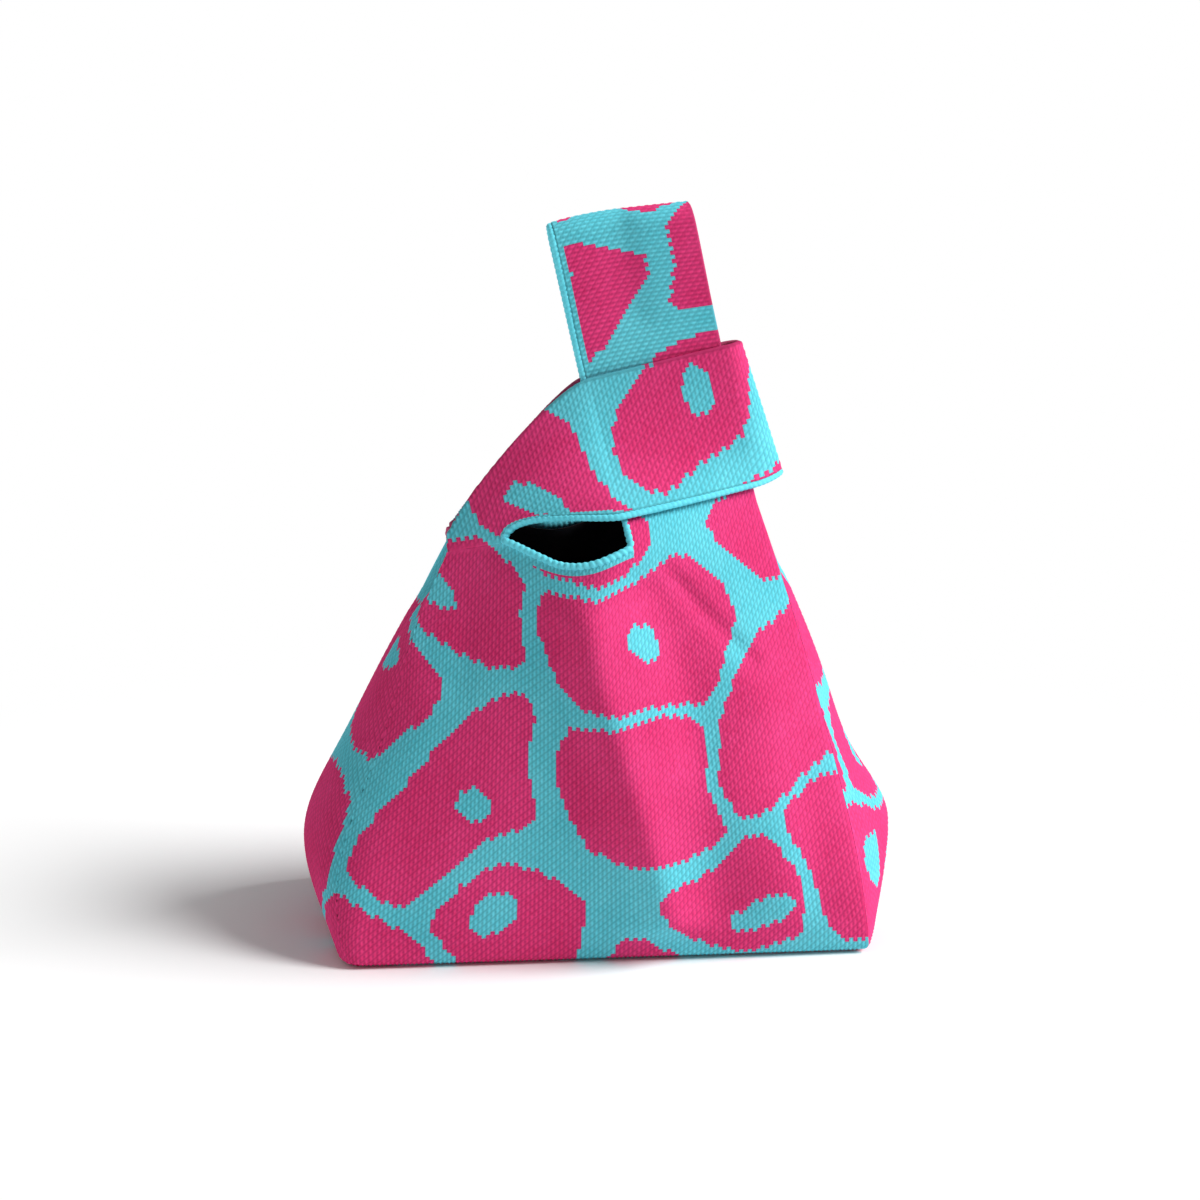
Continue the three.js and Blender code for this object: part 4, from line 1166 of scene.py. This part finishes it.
seam_lines = {
    f"{face_name}_{side_name}_seam": corner_line(side, sign)
    for side_name, side in (("left", LEFT), ("right", RIGHT))
    for face_name, sign in (("front", -1), ("back", 1))
}
seam_lines |= {f"base_{name}_seam": base_line(name) for name in ("front", "right", "back", "left")}
seams = {
    key: chain(f"{key}_yarn", line, SEAM_RADIUS, PINK, **SEAM_STITCH) for key, line in seam_lines.items()
}

# What each piece stands for, and what it moves with
for piece, replaced, slot in (
    (front_knit, "front_panel", "jacquard_knit"),
    (back_knit, "back_panel", "jacquard_knit"),
    (left_knit, "left_gusset", "jacquard_knit"),
    (right_knit, "right_gusset", "jacquard_knit"),
    (base_knit, "base_panel", "jacquard_knit"),
    (lining_cloth, "lining", "lining"),
    *((seam, replaced, "linking_yarn") for replaced, seam in seams.items()),
    (mouth_front_edge, "mouth_front_edging", "edging"),
    (mouth_back_edge, "mouth_back_edging", "edging"),
):
    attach(piece, "bag")
    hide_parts(replaced)

# The handles and their edgings stand in for their nodes, which are hidden
SHORT_NODES = ["short_handle_front", "short_handle_back", "short_handle_loop"]
SHORT_EDGINGS = ["short_handle_front_edging", "short_handle_back_edging", "short_handle_loop_edging"]
LONG_NODES = ["long_handle_front", "long_handle_back", "carry_loop"]
LONG_EDGINGS = ["long_handle_front_edging", "long_handle_back_edging", "carry_loop_edging"]
SLIDE_ENDS = (-34.0, 20.0), (-2.0, 20.0)  # across and along
SWING_ENDS = (26.0, HINGE - 5), (26.0, HINGE + 5)
for piece, nodes, slot, body, ends in (
    (short_handle, SHORT_NODES, "jacquard_knit", "short_loop", SLIDE_ENDS),
    (short_edging, SHORT_EDGINGS, "edging", "short_loop", SLIDE_ENDS),
    (long_handle, LONG_NODES, "jacquard_knit", "carry", SWING_ENDS),
    (long_edging, LONG_EDGINGS, "edging", "carry", SWING_ENDS),
):
    start, end = ((knot_point(across, along, 0.0) * MM).tolist() for across, along in ends)
    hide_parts(*nodes)
    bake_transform(piece)

# Stage, light and camera
FLOOR_SIZE = 14
FLOOR_DROP = 0.0006  # how far the floor lies under the base
WHITE = (1, 1, 1, 1)


def background_rays(tree):
    """1 for the rays that see the white background: straight, in a gloss or through glass."""
    rays = node(tree, "ShaderNodeLightPath").outputs
    seen = rays["Is Camera Ray"]
    for kind in ("Is Glossy Ray", "Is Transmission Ray"):
        seen = node(tree, "ShaderNodeMath", {0: seen, 1: rays[kind]}, operation="MAXIMUM").outputs[0]
    return seen


def choose(tree, share, here, there, output):
    """Turns one shader into another by a share, and shows the result."""
    ends = {"Fac": share, 1: here.outputs[0], 2: there.outputs[0]}
    fill(tree, tree.nodes[output], {"Surface": node(tree, "ShaderNodeMixShader", ends).outputs[0]})


def floor_material():
    """A pale floor that keeps the shadow near the bag and is seen as white further off."""
    material, tree, shader = new_material("floor_white")
    fill(tree, shader, {"Base Color": (0.95, 0.95, 0.95, 1), "Roughness": 0.9, "Specular IOR Level": 0.0})
    place = node(tree, "ShaderNodeTexCoord").outputs["Object"]
    far = node(tree, "ShaderNodeVectorMath", {0: place}, operation="LENGTH").outputs["Value"]
    reach = {"Value": far, "From Min": 0.12, "From Max": 0.42}
    fade = node(tree, "ShaderNodeMapRange", reach, interpolation_type="SMOOTHSTEP").outputs["Result"]
    rays = {0: fade, 1: background_rays(tree)}
    seen = node(tree, "ShaderNodeMath", rays, operation="MULTIPLY").outputs[0]
    choose(tree, seen, shader, node(tree, "ShaderNodeEmission"), "Material Output")
    return material


bpy.ops.mesh.primitive_plane_add(size=FLOOR_SIZE, location=(0, 0, -FLOOR_DROP))
floor = bpy.context.object
floor.name = "floor"
floor.data.materials.append(floor_material())

scene = bpy.context.scene
scene.view_settings.view_transform = "Standard"
world = bpy.data.worlds.new("studio")
world.use_nodes = True
scene.world = world
tree = world.node_tree
sky = tree.nodes["Background"]
fill(tree, sky, {"Color": WHITE, "Strength": 0.3})
backdrop = node(tree, "ShaderNodeBackground", {"Color": WHITE, "Strength": 1.0})
choose(tree, background_rays(tree), sky, backdrop, "World Output")


def view_from(azimuth, elevation):
    """The direction that a view of an azimuth and elevation, in degrees, looks from."""
    a, e = math.radians(azimuth), math.radians(elevation)
    return Vector((math.sin(a) * math.cos(e), -math.cos(a) * math.cos(e), math.sin(e)))


def sun(name, azimuth, elevation, spread, strength):
    """A soft far lamp."""
    lamp = bpy.data.lights.new(name, "SUN")
    lamp.angle = math.radians(spread)
    lamp.energy = strength
    holder = bpy.data.objects.new(name, lamp)
    holder.rotation_mode = "QUATERNION"
    holder.rotation_quaternion = view_from(azimuth, elevation).to_track_quat("Z", "Y")
    scene.collection.objects.link(holder)


sun("key", azimuth=78, elevation=40, spread=30, strength=4.0)
sun("fill", azimuth=-80, elevation=30, spread=60, strength=0.1)

# The camera stands where the photograph was taken: a little to the left, above the bag
AZIMUTH = -5
ELEVATION = 13
DISTANCE = 0.9
FOCAL_PIXELS = 2347.0
FRAME_PIXELS = 1200
SENSOR = 36.0
AIM = Vector((0.0025, 0, 0.14))
ASIDE = -0.00142  # how far off the aim the picture's middle lies
ABOVE = -0.01239
back = view_from(AZIMUTH, ELEVATION)
right = Vector((math.cos(math.radians(AZIMUTH)), math.sin(math.radians(AZIMUTH)), 0))
camera = bpy.data.objects.new("camera", bpy.data.cameras.new("camera"))
camera.data.sensor_width = SENSOR
camera.data.lens = FOCAL_PIXELS / FRAME_PIXELS * SENSOR
camera.data.clip_start, camera.data.clip_end = 0.05, 50
camera.location = AIM + back * DISTANCE
target = AIM + right * ASIDE + back.cross(right) * ABOVE
camera.rotation_mode = "QUATERNION"
camera.rotation_quaternion = (target - camera.location).to_track_quat("-Z", "Y")
scene.collection.objects.link(camera)
scene.camera = camera
